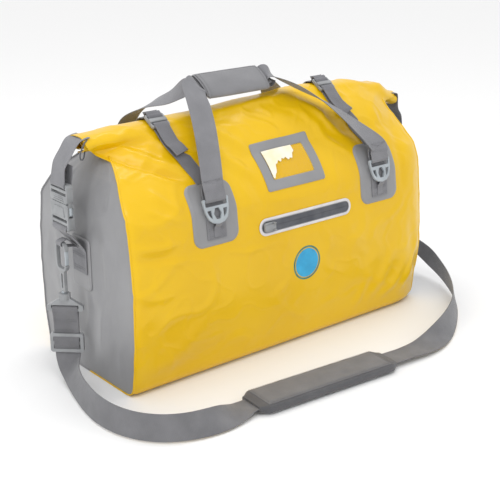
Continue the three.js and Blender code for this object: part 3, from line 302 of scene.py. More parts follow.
# Half of the outline of a strip of webbing: share of its width, share of its thickness
WEB_EDGE = [
    (-0.5, 0.0), (-0.494, 0.62), (-0.478, 1.0), (-0.455, 0.86), (0.455, 0.86), (0.478, 1.0), (0.494, 0.62),
    (0.5, 0.0)
]


def webbing(name, route, across, width, thick, material, body, steps, cup=0.0, crown_steps=6):
    """A strip of webbing along a route. across is the direction of its width at each point."""
    line = smooth_route([Vector(p) for p in route], steps)
    turn = smooth_route([Vector(a) for a in across], steps)
    top = list(WEB_EDGE)
    flat = [(-0.455 + 0.91 * k / crown_steps, 0.86) for k in range(1, crown_steps)]
    top[4:4] = flat
    outline = top + [(share, -height) for share, height in reversed(top[1:-1])]
    points, uv, faces = [], [], []
    length = 0.0
    for k, centre in enumerate(line):
        ahead = line[min(k + 1, steps)] - line[max(k - 1, 0)]
        tangent = ahead.normalized()
        side = (turn[k] - tangent * turn[k].dot(tangent)).normalized()
        normal = tangent.cross(side)
        if k:
            length += (centre - line[k - 1]).length
        for share, height in outline:
            bow = cup * (1 - 4 * share * share)
            points.append(centre + side * (share * width) + normal * (0.5 * height * thick + bow))
            uv.append((share * width, length))
    ring = len(outline)
    for k in range(steps):
        for j in range(ring):
            a, b = k * ring + j, k * ring + (j + 1) % ring
            faces.append((a, b, b + ring, a + ring))
    faces.append(tuple(range(ring)))
    faces.append(tuple(range(steps * ring, (steps + 1) * ring)))
    piece = new_piece(name, points, faces, material, body, uv, crease=50)
    return piece, line


def turned(direction, angle):
    return Matrix.Rotation(angle, 3, "Z") @ direction


STRAP_X = 0.352
STRAP_TOP = 0.109
hang_left = tuple(turned(Y_AXIS, HEAD_TURN_LEFT))
hang_right = tuple(turned(Y_AXIS, HEAD_TURN_RIGHT))
STRAP = [
    ((-STRAP_X, 0.0, STRAP_TOP), hang_left),
    ((-STRAP_X, 0.0, 0.088), hang_left),
    ((-STRAP_X, 0.0, 0.06), hang_left),
    ((-STRAP_X, -0.0004, 0.044), (-0.72, 0.69, 0)),
    ((-0.355, -0.008, 0.0325), (-0.66, 0.62, -0.36)),
    ((-0.361, -0.024, 0.0255), (-0.5, 0.45, -0.74)),
    ((-0.37, -0.046, 0.0225), (-0.36, 0.2, -0.9)),
    ((-0.38, -0.077, 0.021), (-0.3, 0, -0.95)),
    ((-0.388, -0.112, 0.0205), (-0.28, 0, -0.96)),
    ((-0.392, -0.148, 0.0205), (-0.28, 0, -0.96)),
    ((-0.389, -0.184, 0.0205), (-0.25, -0.12, -0.96)),
    ((-0.377, -0.217, 0.0205), (-0.2, -0.2, -0.96)),
    ((-0.356, -0.244, 0.0205), (-0.15, -0.28, -0.95)),
    ((-0.328, -0.261, 0.02), (-0.1, -0.35, -0.92)),
    ((-0.296, -0.268, 0.0185), (0, -0.5, -0.85)),
    ((-0.264, -0.266, 0.015), (0, -0.75, -0.62)),
    ((-0.237, -0.2585, 0.0105), (0, -0.95, -0.25)),
    ((-0.215, -0.2525, 0.0084), (-0.05, -1, 0)),
    ((-0.185, -0.253, 0.0083), (-0.07, -1, 0)),
    ((-0.105, -0.2592, 0.0083), (-0.07, -1, 0)),
    ((-0.025, -0.2653, 0.0083), (-0.07, -1, 0)),
    ((0.06, -0.2719, 0.0083), (-0.07, -1, 0)),
    ((0.092, -0.2745, 0.0085), (0, -1, 0)),
    ((0.126, -0.276, 0.0095), (0.05, -0.97, -0.15)),
    ((0.16, -0.272, 0.012), (0.1, -0.85, -0.45)),
    ((0.194, -0.262, 0.016), (0.2, -0.6, -0.75)),
    ((0.228, -0.246, 0.0195), (0.25, -0.35, -0.9)),
    ((0.262, -0.224, 0.0205), (0.22, -0.2, -0.95)),
    ((0.296, -0.196, 0.0205), (0.2, -0.15, -0.96)),
    ((0.326, -0.165, 0.021), (0.2, -0.1, -0.96)),
    ((0.352, -0.13, 0.024), (0.2, 0, -0.95)),
    ((0.37, -0.094, 0.031), (0.2, 0.15, -0.92)),
    ((0.377, -0.06, 0.043), (0.15, 0.45, -0.8)),
    ((0.371, -0.03, 0.06), (0.2, 0.75, -0.5)),
    ((0.358, -0.007, 0.078), (0.3, 0.93, -0.1)),
    ((STRAP_X, 0.0, 0.095), hang_right),
    ((STRAP_X, 0.0, STRAP_TOP), hang_right),
]
strap, strap_line = webbing(
    "strap_ribbon", [p for p, _ in STRAP], [a for _, a in STRAP], WEB_WIDE, STRAP_THICK,
    strap_webbing, "bag", 220, cup=0.0006,
)
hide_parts("shoulder_strap")

# ---- Shoulder pad ---------------------------------------------------------------------------
# A foam pad between two layers of nylon cloth, stitched all round, with the webbing through it.
# The top cloth is a lighter panel inside a bound border.

PAD_LENGTH = 0.256
PAD_WIDTH = 0.062
PAD_THICK = 0.014
PAD_START = Vector((-0.205, -0.2515, 0.0083))
pad_along = Vector((0.260, -0.020, 0)).normalized()
pad_across = Z_AXIS.cross(pad_along)

pad_cloth = woven("pad_cloth", rgb(98, 98, 101), rgb(126, 126, 129), 0.0011, 0.0011, 0.00012)
pad_border_cloth = woven("pad_border_cloth", rgb(74, 74, 77), rgb(100, 100, 103), 0.0009, 0.0009, 0.0001)
thread = Finish("thread", 0.6, Sheen_Weight=0.3)
thread.colour(thread.ramp(thread.noise(300, 1), [(0.3, rgb(88, 88, 92)), (0.7, rgb(122, 122, 126))]))
thread = thread.material


def slab(name, columns, rows, at, material, body, ring=False, crease=40):
    """A thin closed solid: at(u, v) gives its outer and inner point and its UV, u and v from 0 to 1"""
    across = columns if ring else columns + 1
    points, uv, faces = [], [], []
    for layer in range(2):
        for i in range(across):
            for j in range(rows + 1):
                spot = at(i / columns, j / rows)
                points.append(spot[layer])
                uv.append(spot[2])

    def corner(layer, i, j):
        return layer * across * (rows + 1) + (i % across) * (rows + 1) + j

    for i in range(columns):
        for j in range(rows):
            faces.append((corner(0, i, j), corner(0, i + 1, j), corner(0, i + 1, j + 1), corner(0, i, j + 1)))
            faces.append((corner(1, i, j), corner(1, i, j + 1), corner(1, i + 1, j + 1), corner(1, i + 1, j)))
        faces.append((corner(0, i, 0), corner(1, i, 0), corner(1, i + 1, 0), corner(0, i + 1, 0)))
        faces.append((corner(0, i, rows), corner(0, i + 1, rows), corner(1, i + 1, rows), corner(1, i, rows)))
    if not ring:
        for j in range(rows):
            faces.append((corner(0, 0, j), corner(0, 0, j + 1), corner(1, 0, j + 1), corner(1, 0, j)))
            faces.append((
                corner(0, columns, j), corner(1, columns, j), corner(1, columns, j + 1),
                corner(0, columns, j + 1),
            ))
    return new_piece(name, points, faces, material, body, uv, crease)


def smooth_step(low, high, value):
    t = min(1.0, max(0.0, (value - low) / (high - low)))
    return t * t * (3 - 2 * t)


def stitching(name, rows, body, pitch=0.0042, long=0.0031, thick=0.00034, material=None):
    """Rows of stitches in one mesh. A row is a list of (point, normal); each stitch is a short fat thread."""
    points, faces = [], []
    for row in rows:
        left = pitch / 2
        for (a, normal_a), (b, normal_b) in zip(row, row[1:]):
            span = (b - a).length
            if span < 1e-7:
                continue
            along = (b - a) / span
            while left < span:
                spot = a.lerp(b, left / span)
                up = normal_a.lerp(normal_b, left / span).normalized()
                side = along.cross(up)
                start = len(points)
                for share, fat in ((-0.5, 0.35), (-0.2, 1.0), (0.2, 1.0), (0.5, 0.35)):
                    middle = spot + along * (share * long) + up * (thick * (fat - 0.55))
                    for k in range(4):
                        turn = math.pi / 4 + k * math.pi / 2
                        points.append(middle + (side * math.cos(turn) + up * math.sin(turn)) * thick * fat)
                for m in range(3):
                    for k in range(4):
                        one, two = start + 4 * m + k, start + 4 * m + (k + 1) % 4
                        faces.append((one, two, two + 4, one + 4))
                faces.append(tuple(start + k for k in range(4)))
                faces.append(tuple(start + 12 + k for k in range(4)))
                left += pitch
            left -= span
    piece = new_piece(name, points, faces, material or thread, body, crease=60)
    return piece


def pad_point(v, half, high, thick=1.0):
    corner = 0.74 + 0.26 * smooth_step(0, 0.055, min(v, 1 - v))
    place = PAD_START + pad_along * (v * PAD_LENGTH) + pad_across * (half * corner)
    place.z += high * (0.62 + 0.38 * smooth_step(0, 0.05, min(v, 1 - v))) * thick
    return place


def pad_body(u, v):
    angle = 2 * math.pi * u
    wide, high = math.cos(angle), math.sin(angle)
    def flat(value, power):
        return math.copysign(abs(value) ** power, value)

    outer = pad_point(v, PAD_WIDTH / 2 * flat(wide, 0.35), PAD_THICK / 2 * flat(high, 0.5))
    inner = pad_point(v, (WEB_WIDE / 2 + 0.0022) * flat(wide, 0.5), 0.0021 * flat(high, 0.5))
    inner.z = max(PAD_START.z - 0.0023, min(PAD_START.z + 0.0023, inner.z))
    ripple = 0.0004 * noise.noise(Vector((outer.x * 60, outer.y * 60, outer.z * 90)))
    outer.z += ripple * (1 if high > 0 else 0)
    return outer, inner, (v * PAD_LENGTH, angle * 0.022)


pad = slab("pad_foam", 48, 60, pad_body, pad_border_cloth, "shoulder_pad", ring=True)
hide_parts("shoulder_pad")


def pad_top(u, v):
    inset = 0.0055
    along = 0.05 + 0.90 * v
    half = (PAD_WIDTH / 2 - inset) * (2 * u - 1)
    edge = min(min(u, 1 - u) * (PAD_WIDTH - 2 * inset), min(v, 1 - v) * 0.9 * PAD_LENGTH)
    puff = 0.0011 * smooth_step(0, 0.006, edge) + 0.0002
    puff += 0.0003 * noise.noise(Vector((u * 3, v * 9, 1)))
    top = pad_point(along, half, PAD_THICK / 2)
    return top + Z_AXIS * puff, top - Z_AXIS * 0.0008, (half, along * PAD_LENGTH)


pad_panel = slab("pad_top_panel", 24, 70, pad_top, pad_cloth, "shoulder_pad")

border_rows = []
for inset in (0.0045, 0.0075):
    half = PAD_WIDTH / 2 - inset
    margin = inset / PAD_LENGTH + 0.035
    corners = [(margin, -half), (1 - margin, -half), (1 - margin, half), (margin, half), (margin, -half)]
    row = []
    for (v0, h0), (v1, h1) in zip(corners, corners[1:]):
        for k in range(30):
            t = k / 30
            spot = pad_point(v0 + (v1 - v0) * t, h0 + (h1 - h0) * t, PAD_THICK / 2)
            row.append((spot + Z_AXIS * (0.0004 if inset < 0.006 else 0.0011), Z_AXIS))
    border_rows.append(row)
pad_stitches = stitching("pad_stitching", border_rows, "shoulder_pad")

# ---- Skin of the bag ------------------------------------------------------------------------
# Front, back and base are coated fabric, welded along the bottom edges and the two ends. The bag is
# full, so the walls bow out and crease where the roll, the patches and the corners hold them.

LENGTH = 0.640
HALF_DEPTH = 0.123
SHOULDER = 0.250
CROWN = 0.354
SHOULDER_SHAPE = 1.5
BELLY = 0.010
BASE_ROUND = 0.020
SKIN = 0.0012
CROWN_LINE = [(-1, -12), (-0.75, -8), (-0.35, -6), (0, 0), (0.33, 6), (0.63, 3), (0.83, -8), (1, -30)]
ENDS = {-1: {"round": 0.016, "dome": 0.005, "lean": 0.040}, 1: {"round": 0.090, "dome": 0.035, "lean": 0.022}}
ROLL_WIDE = 0.0240             # half width of the rolled mouth, over its last turn
ROLL_HIGH = 0.0128             # half height
ROLL_LENGTH = 0.636
COVER_FOOT = 0.090             # down the front from the crown: below here the skin is free of the roll
COVER_TOP = -0.062             # up over the roll and down behind it


def cross_section():
    """Half of the outline, from the crown down the outside to the middle of the base"""
    points = []
    for i in range(121):
        y = HALF_DEPTH * math.sin(i / 120 * math.pi / 2)
        rise = max(0.0, 1 - (y / HALF_DEPTH) ** SHOULDER_SHAPE) ** (1 / SHOULDER_SHAPE)
        points.append(Vector((y, SHOULDER + (CROWN - SHOULDER) * rise)))
    for i in range(1, 61):
        share = i / 60
        points.append(
            Vector(
                (HALF_DEPTH + BELLY * math.sin(math.pi * share), SHOULDER + (BASE_ROUND - SHOULDER) * share)
            )
        )
    for i in range(1, 17):
        angle = i / 16 * math.pi / 2
        points.append(Vector((
            HALF_DEPTH - BASE_ROUND + BASE_ROUND * math.cos(angle), BASE_ROUND * (1 - math.sin(angle)),
        )))
    points.append(Vector((0, 0)))
    return points


outline = cross_section()
outline_length = [0.0]
for before, after in zip(outline, outline[1:]):
    outline_length.append(outline_length[-1] + (after - before).length)
S_BASE = outline_length[-1]
S_CORNER = outline_length[-18]
S_FLOOR = S_BASE - (HALF_DEPTH - BASE_ROUND)


def find(lengths, s):
    low, high = 0, len(lengths) - 1
    while high - low > 1:
        middle = (low + high) // 2
        if lengths[middle] < s:
            low = middle
        else:
            high = middle
    return low


def outline_at(s):
    i = find(outline_length, s)
    share = (s - outline_length[i]) / (outline_length[i + 1] - outline_length[i])
    along = (outline[i + 1] - outline[i]).normalized()
    place = outline[i].lerp(outline[i + 1], share)
    return place, Vector((-along.y, along.x))


def crown_rise(x):
    share = max(-1.0, min(1.0, x / (LENGTH / 2)))
    i = 1
    while CROWN_LINE[i][0] < share:
        i += 1
    (x0, z0), (x1, z1) = CROWN_LINE[i - 1], CROWN_LINE[i]
    return (z0 + (z1 - z0) * smooth_step(x0, x1, share)) / 1000


def crown_share(z):
    return max(0.0, (z - SHOULDER) / (CROWN - SHOULDER))


def roll_height(x):
    return CROWN + crown_rise(x) + 0.0128


@lru_cache(maxsize=None)
def end_reach(hand, s):
    lean = ENDS[hand]["lean"]
    return LENGTH / 2 - lean * crown_share(outline_at(max(0.0, s))[0].y) ** 2


def seam_reach(hand, s):
    return end_reach(hand, s) - ENDS[hand]["dome"]


def bare_wall(x, s):
    """Point and outward direction on the filled wall, in Y and Z, before the roll and the creases"""
    place, out = outline_at(s)
    hand = -1 if x < 0 else 1
    into = max(0.0, min(ENDS[hand]["round"], ENDS[hand]["round"] - (end_reach(hand, round(s, 4)) - abs(x))))
    inset = ENDS[hand]["round"] - math.sqrt(ENDS[hand]["round"] ** 2 - into ** 2)
    return (
        Vector((place.x * (1 - inset / HALF_DEPTH), place.y + crown_rise(x) * crown_share(place.y))),
        out,
    )


@lru_cache(maxsize=None)
def cover_line(x):
    """The front skin over the roll at x, in Y (outwards) and Z, from behind it down to COVER_FOOT"""
    high = roll_height(x)
    a, b = ROLL_WIDE, ROLL_HIGH
    foot = bare_wall(x, COVER_FOOT)[0]
    middle = bare_wall(x, 0.060)[0]
    under = bare_wall(x, 0.026)[0]
    roll = [
        Vector((-a * 0.80, high - b * 0.62)), Vector((-a, high)), Vector((-a * 0.62, high + b * 0.84)),
        Vector((0, high + b)), Vector((a * 0.60, high + b * 0.82)),
    ]
    front = Vector((a * 1.02, high + b * 0.18))
    taut = [
        front, front.lerp(foot, 0.36) + Vector((0.003, 0.003)),
        front.lerp(foot, 0.70) + Vector((0.0025, 0.003))
    ]
    tucked = [Vector((a, high)), Vector((a * 0.72, high - b * 0.86)), under + Vector((0.002, 0.0015))]
    tight = smooth_step(-0.285, -0.150, x) * (1 - 0.75 * smooth_step(0.225, 0.300, x))
    bridge = [t.lerp(s, tight) for t, s in zip(tucked, taut)]
    waist = middle.lerp(front.lerp(foot, 0.86) + Vector((0.0012, 0.0012)), tight)
    after = bare_wall(x, COVER_FOOT + 0.014)[0]
    line = smooth_route(roll + bridge + [waist, foot, after], 90)
    keep = 1 + round(90 * (len(roll) + len(bridge) + 1) / (len(roll) + len(bridge) + 2))
    return line[:keep]


@lru_cache(maxsize=None)
def cover_lengths(x):
    line = cover_line(x)
    lengths = [0.0]
    for before, after in zip(line, line[1:]):
        lengths.append(lengths[-1] + (after - before).length)
    return lengths


def front_wall(x, s):
    """As bare_wall, with the skin carried up over the roll above COVER_FOOT"""
    if s >= COVER_FOOT:
        return bare_wall(x, s)
    x = round(x, 4)
    line, lengths = cover_line(x), cover_lengths(x)
    at = lengths[-1] * (s - COVER_TOP) / (COVER_FOOT - COVER_TOP)
    i = find(lengths, at)
    share = (at - lengths[i]) / (lengths[i + 1] - lengths[i])
    before, after = line[max(0, i - 1)], line[min(len(line) - 1, i + 2)]
    along = (after - before).normalized()
    return line[i].lerp(line[i + 1], share), Vector((-along.y, along.x))


# Creases that the load pulls into the front: start and end as (x, s), half width, height
FRONT_CREASES = [
    ((-0.285, 0.030), (-0.185, 0.112), 0.007, -0.0050),
    ((-0.270, 0.010), (-0.195, 0.085), 0.010, 0.0042),
    ((-0.250, 0.070), (-0.190, 0.122), 0.006, 0.0028),
    ((-0.215, 0.020), (-0.150, 0.070), 0.008, 0.0025),
    ((-0.262, 0.110), (-0.225, 0.150), 0.006, 0.0028),
    ((-0.275, 0.140), (-0.222, 0.170), 0.005, 0.0026),
    ((-0.278, 0.168), (-0.235, 0.200), 0.005, 0.0022),
    ((-0.305, 0.190), (-0.238, 0.196), 0.006, 0.0040),
    ((-0.305, 0.206), (-0.245, 0.212), 0.006, -0.0030),
    ((-0.308, 0.262), (-0.250, 0.270), 0.007, 0.0030),
    ((-0.300, 0.300), (-0.215, 0.292), 0.016, 0.0022),
    ((-0.300, 0.392), (-0.190, 0.330), 0.020, 0.0042),
    ((-0.260, 0.398), (-0.140, 0.372), 0.012, -0.0026),
    ((-0.105, 0.030), (-0.052, 0.085), 0.008, 0.0032),
    ((-0.120, 0.066), (-0.072, 0.130), 0.009, 0.0036),
    ((-0.090, 0.110), (-0.060, 0.190), 0.012, -0.0024),
    ((0.070, 0.010), (0.120, 0.070), 0.008, 0.0026),
    ((0.090, 0.040), (0.135, 0.105), 0.007, 0.0030),
    ((0.215, 0.060), (0.190, 0.150), 0.010, 0.0030),
    ((0.245, 0.090), (0.218, 0.200), 0.012, -0.0030),
    ((0.090, 0.230), (0.135, 0.300), 0.012, 0.0022),
    ((0.150, 0.385), (0.205, 0.300), 0.010, 0.0032),
    ((0.180, 0.395), (0.235, 0.330), 0.009, 0.0034),
    ((0.120, 0.392), (0.150, 0.330), 0.008, 0.0022),
    ((0.225, 0.392), (0.268, 0.300), 0.010, 0.0030),
    ((0.245, 0.250), (0.280, 0.370), 0.012, -0.0030),
]
BACK_CREASES = [
    ((-0.290, 0.040), (-0.200, 0.120), 0.010, 0.0040),
    ((0.285, 0.050), (0.205, 0.125), 0.010, 0.0040),
    ((-0.060, 0.060), (0.080, 0.085), 0.012, 0.0026),
    ((-0.280, 0.380), (-0.180, 0.320), 0.016, 0.0036),
    ((0.250, 0.380), (0.170, 0.310), 0.016, 0.0036),
    ((-0.100, 0.240), (-0.040, 0.340), 0.016, -0.0026),
    ((0.060, 0.220), (0.110, 0.330), 0.014, 0.0024),
    ((-0.300, 0.220), (-0.230, 0.226), 0.007, 0.0030),
    ((0.280, 0.240), (0.230, 0.248), 0.007, 0.0030),
]
# Stiff places that stay flat: middle (x, s) and half sizes
STIFF = [
    ((-0.168, 0.164), (0.041, 0.049)), ((0.168, 0.164), (0.041, 0.049)), ((-0.004, 0.1135), (0.058, 0.0415)),
    ((0.007, 0.2065), (0.095, 0.0135)), ((0.006, 0.281), (0.028, 0.028)),
]


def crease_height(x, s, start, end, half, height):
    """A smooth fold from start to end, highest in the middle of its length and fading at both tips"""
    (x0, s0), (x1, s1) = start, end
    long = math.hypot(x1 - x0, s1 - s0)
    ax, as_ = (x1 - x0) / long, (s1 - s0) / long
    along = ((x - x0) * ax + (s - s0) * as_) / long
    if not -0.2 < along < 1.2:
        return 0.0
    across = (x - x0) * as_ - (s - s0) * ax
    across += 0.10 * long * math.sin(math.pi * along) * 0.5
    if abs(across) > 3 * half:
        return 0.0
    fade = smooth_step(-0.2, 0.25, along) * (1 - smooth_step(0.65, 1.2, along))
    return height * fade * math.exp(-((across / half) ** 2))


def crumple(x, s, side):
    """How far the skin stands off its filled shape at x and s on the front (-1) or back (1)"""
    slack = 0.0022 * noise.noise(Vector((x * 7, s * 8, 3.1 * side)))
    slack += 0.0009 * noise.noise(Vector((x * 22, s * 17, 9.7 * side)))
    fold = 1 - abs(noise.noise(Vector((x * 11 + 1.5 * s, s * 15 - 2 * x, 5.3 + side))))
    slack += 0.0020 * max(0.0, fold - 0.82) / 0.18
    sharp = 1 - abs(noise.noise(Vector((x * 24 - 5 * s, s * 26 + 4 * x, 1.3 + side))))
    slack += 0.0009 * max(0.0, sharp - 0.86) / 0.14
    for crease in FRONT_CREASES if side < 0 else BACK_CREASES:
        slack += crease_height(x, s, *crease)
    calm = 1.0
    for (cx, cs), (half_x, half_s) in STIFF[:2] if side > 0 else STIFF:
        away = math.hypot(max(0.0, abs(x - cx) - half_x), max(0.0, abs(s - cs) - half_s))
        calm *= 0.12 + 0.88 * smooth_step(0, 0.022, away)
    calm *= 1 - smooth_step(S_CORNER - 0.030, S_CORNER + 0.004, s) * 0.9
    calm *= 1 - 0.55 * smooth_step(0.004, -0.03, s)
    return slack * calm


def skin_point(x, s, side, lift=0.0):
    """A point on the front (-1) or back (1) skin, lift metres outside it"""
    place, out = front_wall(x, s) if side < 0 else bare_wall(x, s)
    off = crumple(x, s, side) + lift
    return Vector((x, side * (place.x + off * out.x), max(0.0, place.y + off * out.y)))


def skin_out(x, s, side):
    """The direction out of the skin, from its slope both ways"""
    step = 0.003
    along = skin_point(x + step, s, side) - skin_point(x - step, s, side)
    down = skin_point(x, s + step, side) - skin_point(x, s - step, side)
    normal = along.cross(down).normalized()
    return normal if normal.y * side > 0 else -normal


tarpaulin = Finish("tarpaulin", 0.3, Coat_Weight=0.22, Coat_Roughness=0.16, Specular_IOR_Level=0.3)
cloudy = tarpaulin.noise(6, 4)
tarpaulin.colour(tarpaulin.ramp(cloudy, [(0.3, rgb(224, 178, 0)), (0.7, rgb(234, 190, 4))]))
tarpaulin.rough(tarpaulin.noise(14, 4), 0.27, 0.42)
tarpaulin.bump((tarpaulin.noise(45, 4), 0.0007), (tarpaulin.noise(420, 2), 0.00012))
tarpaulin = tarpaulin.material


def front_reach(hand, s):
    """Half length of the front skin at s: to the seam on the wall, to the roll's end over the roll"""
    over = 1 - smooth_step(0.004, 0.046, s)
    return seam_reach(hand, round(s, 4)) * (1 - over) + (ROLL_LENGTH / 2) * over


def front_at(u, v):
    s = COVER_TOP + (S_CORNER - COVER_TOP) * v
    x = -front_reach(-1, s) + (front_reach(-1, s) + front_reach(1, s)) * u
    return skin_point(x, s, -1), skin_point(x, s, -1, -SKIN), (x, s)


def back_at(u, v):
    s = 0.009 + (S_CORNER - 0.009) * v
    x = -seam_reach(-1, round(s, 4)) + (seam_reach(-1, round(s, 4)) + seam_reach(1, round(s, 4))) * u
    return skin_point(x, s, 1), skin_point(x, s, 1, -SKIN), (x, s)


def base_at(u, v):
    w = 2 * v - 1
    bend = 0.5
    share = abs(w)
    if share > bend:
        s = S_FLOOR + (S_CORNER - S_FLOOR) * (share - bend) / (1 - bend)
    else:
        s = S_BASE + (S_FLOOR - S_BASE) * share / bend
    reach = [seam_reach(hand, 0.41) for hand in (-1, 1)]
    x = -reach[0] + (reach[0] + reach[1]) * u
    side = -1 if w < 0 else 1
    place, out = bare_wall(x, s)
    return [
        Vector((x, side * (place.x + off * out.x), place.y + off * out.y)) for off in (0, -SKIN)
    ] + [(x, w * 0.12)]


front = slab("front_skin", 190, 150, front_at, tarpaulin, "bag")
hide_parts("front_panel")
back = slab("back_skin", 130, 100, back_at, tarpaulin, "bag")
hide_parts("back_panel")
base = slab("base_skin", 60, 36, base_at, tarpaulin, "bag")
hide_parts("base_panel")

# ---- Ends -----------------------------------------------------------------------------------
# Each end is a grey panel welded in with a narrow turned seam. The left one is packed nearly flat,
# the right one is blown out round.

grey_coat = Finish("grey_coat", 0.4, Coat_Weight=0.2, Coat_Roughness=0.25)
grey_coat.colour(
    grey_coat.ramp(grey_coat.noise(8, 4), [(0.3, rgb(132, 132, 134)), (0.7, rgb(148, 148, 150))])
)
grey_coat.rough(grey_coat.noise(20, 4), 0.36, 0.5)
grey_coat.bump((grey_coat.noise(50, 4), 0.0006), (grey_coat.noise(500, 2), 0.0001))
grey_coat = grey_coat.material

# The grey end cloth laps round the left-hand corner on to the back
LAP_SHARE = 0.0425
back.data.materials.append(grey_coat)
back_uv = back.data.uv_layers[0].data
for face in back.data.polygons:
    x, s = min(tuple(back_uv[i].uv) for i in face.loop_indices)
    left, right = (seam_reach(hand, round(s, 4)) for hand in (-1, 1))
    if (x + left) / (left + right) < LAP_SHARE:
        face.material_index = 1


def seam_point(hand, s, side, lift=0.0):
    return skin_point(hand * seam_reach(hand, round(s, 4)), s, side, lift)


def end_panel_at(hand):
    top = 0.014

    def at(u, v):
        s = S_FLOOR + (top - S_FLOOR) * v
        front_rim, back_rim = (seam_point(hand, s, side, -SKIN) for side in (-1, 1))
        across = 2 * u - 1
        place = front_rim.lerp(back_rim, u)
        fill = (1 - across ** 2) * min(1.0, 4 * v * (1 - v) + 0.15 * v)
        bulge = ENDS[hand]["dome"] * fill
        loose = 0.0035 * noise.noise(Vector((across * 1.6, v * 2.2, 7.7 * hand)))
        loose += 0.0016 * noise.noise(Vector((across * 4, v * 6, 2.7 * hand)))
        fold = 1 - abs(noise.noise(Vector((across * 2.2 + v, v * 3.4, 4.1 * hand))))
        loose += 0.003 * max(0.0, fold - 0.8) / 0.2
        calm = smooth_step(0, 0.25, min(u, 1 - u)) * smooth_step(0, 0.12, min(v, 1 - v))
        patch = 1 - 0.85 * smooth_step(0.045, 0.030, abs(place.y)) * smooth_step(0.115, 0.14, place.z)
        place.x += hand * (bulge + (loose - 0.0025) * calm * patch)
        inner = place.copy()
        inner.x -= hand * SKIN
        return place, inner, (place.y, place.z)
    return at


def seam_tube(name, hand, radius):
    """The welded edge between an end and the walls: up the front, and round under the base to the back"""
    path = []
    for k in range(56):
        path.append(seam_point(hand, 0.030 + (S_FLOOR - 0.030) * k / 55, -1))
    for k in range(1, 10):
        path.append(Vector((path[55].x, path[55].y * (1 - 2 * k / 10), 0.0)))
    for k in range(56):
        path.append(seam_point(hand, S_FLOOR + (0.030 - S_FLOOR) * k / 55, 1))
    points, faces = [], []
    for k, spot in enumerate(path):
        tangent = (path[min(k + 1, len(path) - 1)] - path[max(k - 1, 0)]).normalized()
        side = X_AXIS
        normal = tangent.cross(side).normalized()
        for m in range(8):
            turn = m / 8 * 2 * math.pi
            point = spot + (side * math.cos(turn) * 1.7 + normal * math.sin(turn)) * radius
            point.z = max(0.0, point.z)
            points.append(point)
    for k in range(len(path) - 1):
        for m in range(8):
            a, b = 8 * k + m, 8 * k + (m + 1) % 8
            faces.append((a, b, b + 8, a + 8))
    faces.append(tuple(range(8)))
    faces.append(tuple(range(len(points) - 8, len(points))))
    piece = new_piece(name, points, faces, tarpaulin, "bag", crease=80)
    piece.data.materials.append(grey_coat)
    for face in piece.data.polygons:
        if face.center.y > 0:
            face.material_index = 1
    return piece


for hand_name, hand in (("left", -1), ("right", 1)):
    panel = slab(f"end_skin_{hand_name}", 56, 80, end_panel_at(hand), grey_coat, "bag")
    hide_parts(f"end_panel_{hand_name}")
    seam_tube(f"end_seam_{hand_name}", hand, 0.0011)

# ---- Rolled mouth ---------------------------------------------------------------------------
# The mouth is flattened round two plastic battens and rolled. Its last turn is the front skin, so
# what shows here are the inner turns at both ends and the turn at the back.

ROLL_SHEET = 0.0016
ROLL_CORE = 0.45


def roll_at(u, v):
    x = (ROLL_LENGTH - 0.002) * (u - 0.5)
    turn = v * 1.75 * 2 * math.pi
    size = ROLL_CORE + (1 - ROLL_CORE) * v
    loose = 1 + 0.05 * noise.noise(Vector((x * 9, turn, 2.2)))
    flat = 1 - 0.25 * smooth_step(0.22, 0.318, abs(x)) * smooth_step(1, 0, v)

    def place(offset):
        return Vector((
            x, (0.0215 * size * loose + offset) * math.cos(turn),
            roll_height(x) + (0.0105 * size * loose * flat + offset) * math.sin(turn),
        ))
    return place(ROLL_SHEET / 2), place(-ROLL_SHEET / 2), (x, turn * 0.02)


roll = slab("rolled_mouth", 90, 64, roll_at, tarpaulin, "bag")
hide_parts("roll_top")

hard_board = Finish("hard_board", 0.6)
hard_board.colour(hard_board.ramp(hard_board.noise(60, 3), [(0.3, rgb(42, 43, 46)), (0.7, rgb(58, 59, 62))]))
hard_board.bump((hard_board.noise(350, 2), 0.0001))
hard_board = hard_board.material


def repaint(node, material):
    """Gives a CAD part its finish"""
    mesh = frame["nodes"][node].data
    mesh.materials.clear()
    mesh.materials.append(material)


for node in ("base_board", "roll_batten_upper", "roll_batten_lower"):
    repaint(node, hard_board)

# ---- Patches, tabs and handle rings ---------------------------------------------------------
# A grey patch is welded on for each handle ring. A short tab of webbing is sewn on it, runs up
# behind the ring and holds it by its lower rim. The rings are moulded nylon.

PATCH_X = 0.168
PATCH_TOP = 0.115
PATCH_WIDTH = 0.082
PATCH_HEIGHT = 0.098
PATCH_ROUND = 0.016
RING_TOP = 0.143
RING_HEIGHT = 0.038
RING_BAR = 0.0036
RING_THICK = 0.0034
WEB_THICK = 0.0014
GAP = 0.0003
RING_WRAP = math.hypot(RING_BAR, RING_THICK) / 2 + WEB_THICK / 2 + GAP + 0.0001
RING_LIFT = GAP + 0.0016 + GAP + WEB_THICK / 2 + RING_WRAP + 0.0004

handle_webbing = woven("handle_webbing", rgb(112, 112, 116), rgb(140, 140, 144), 0.0015, 0.0024, 0.00025)


def nylon(name, dark, light, roughness=0.38):
    finish = Finish(name, roughness, Coat_Weight=0.08, Coat_Roughness=0.3)
    finish.colour(finish.ramp(finish.noise(55, 4), [(0.3, dark), (0.7, light)]))
    finish.rough(finish.noise(130, 3), roughness - 0.06, roughness + 0.1)
    finish.bump((finish.noise(1400, 2), 0.00005))
    return finish.material


ring_nylon = nylon("ring_nylon", rgb(154, 161, 166), rgb(174, 181, 186))
buckle_nylon = nylon("buckle_nylon", rgb(134, 136, 138), rgb(154, 156, 158))


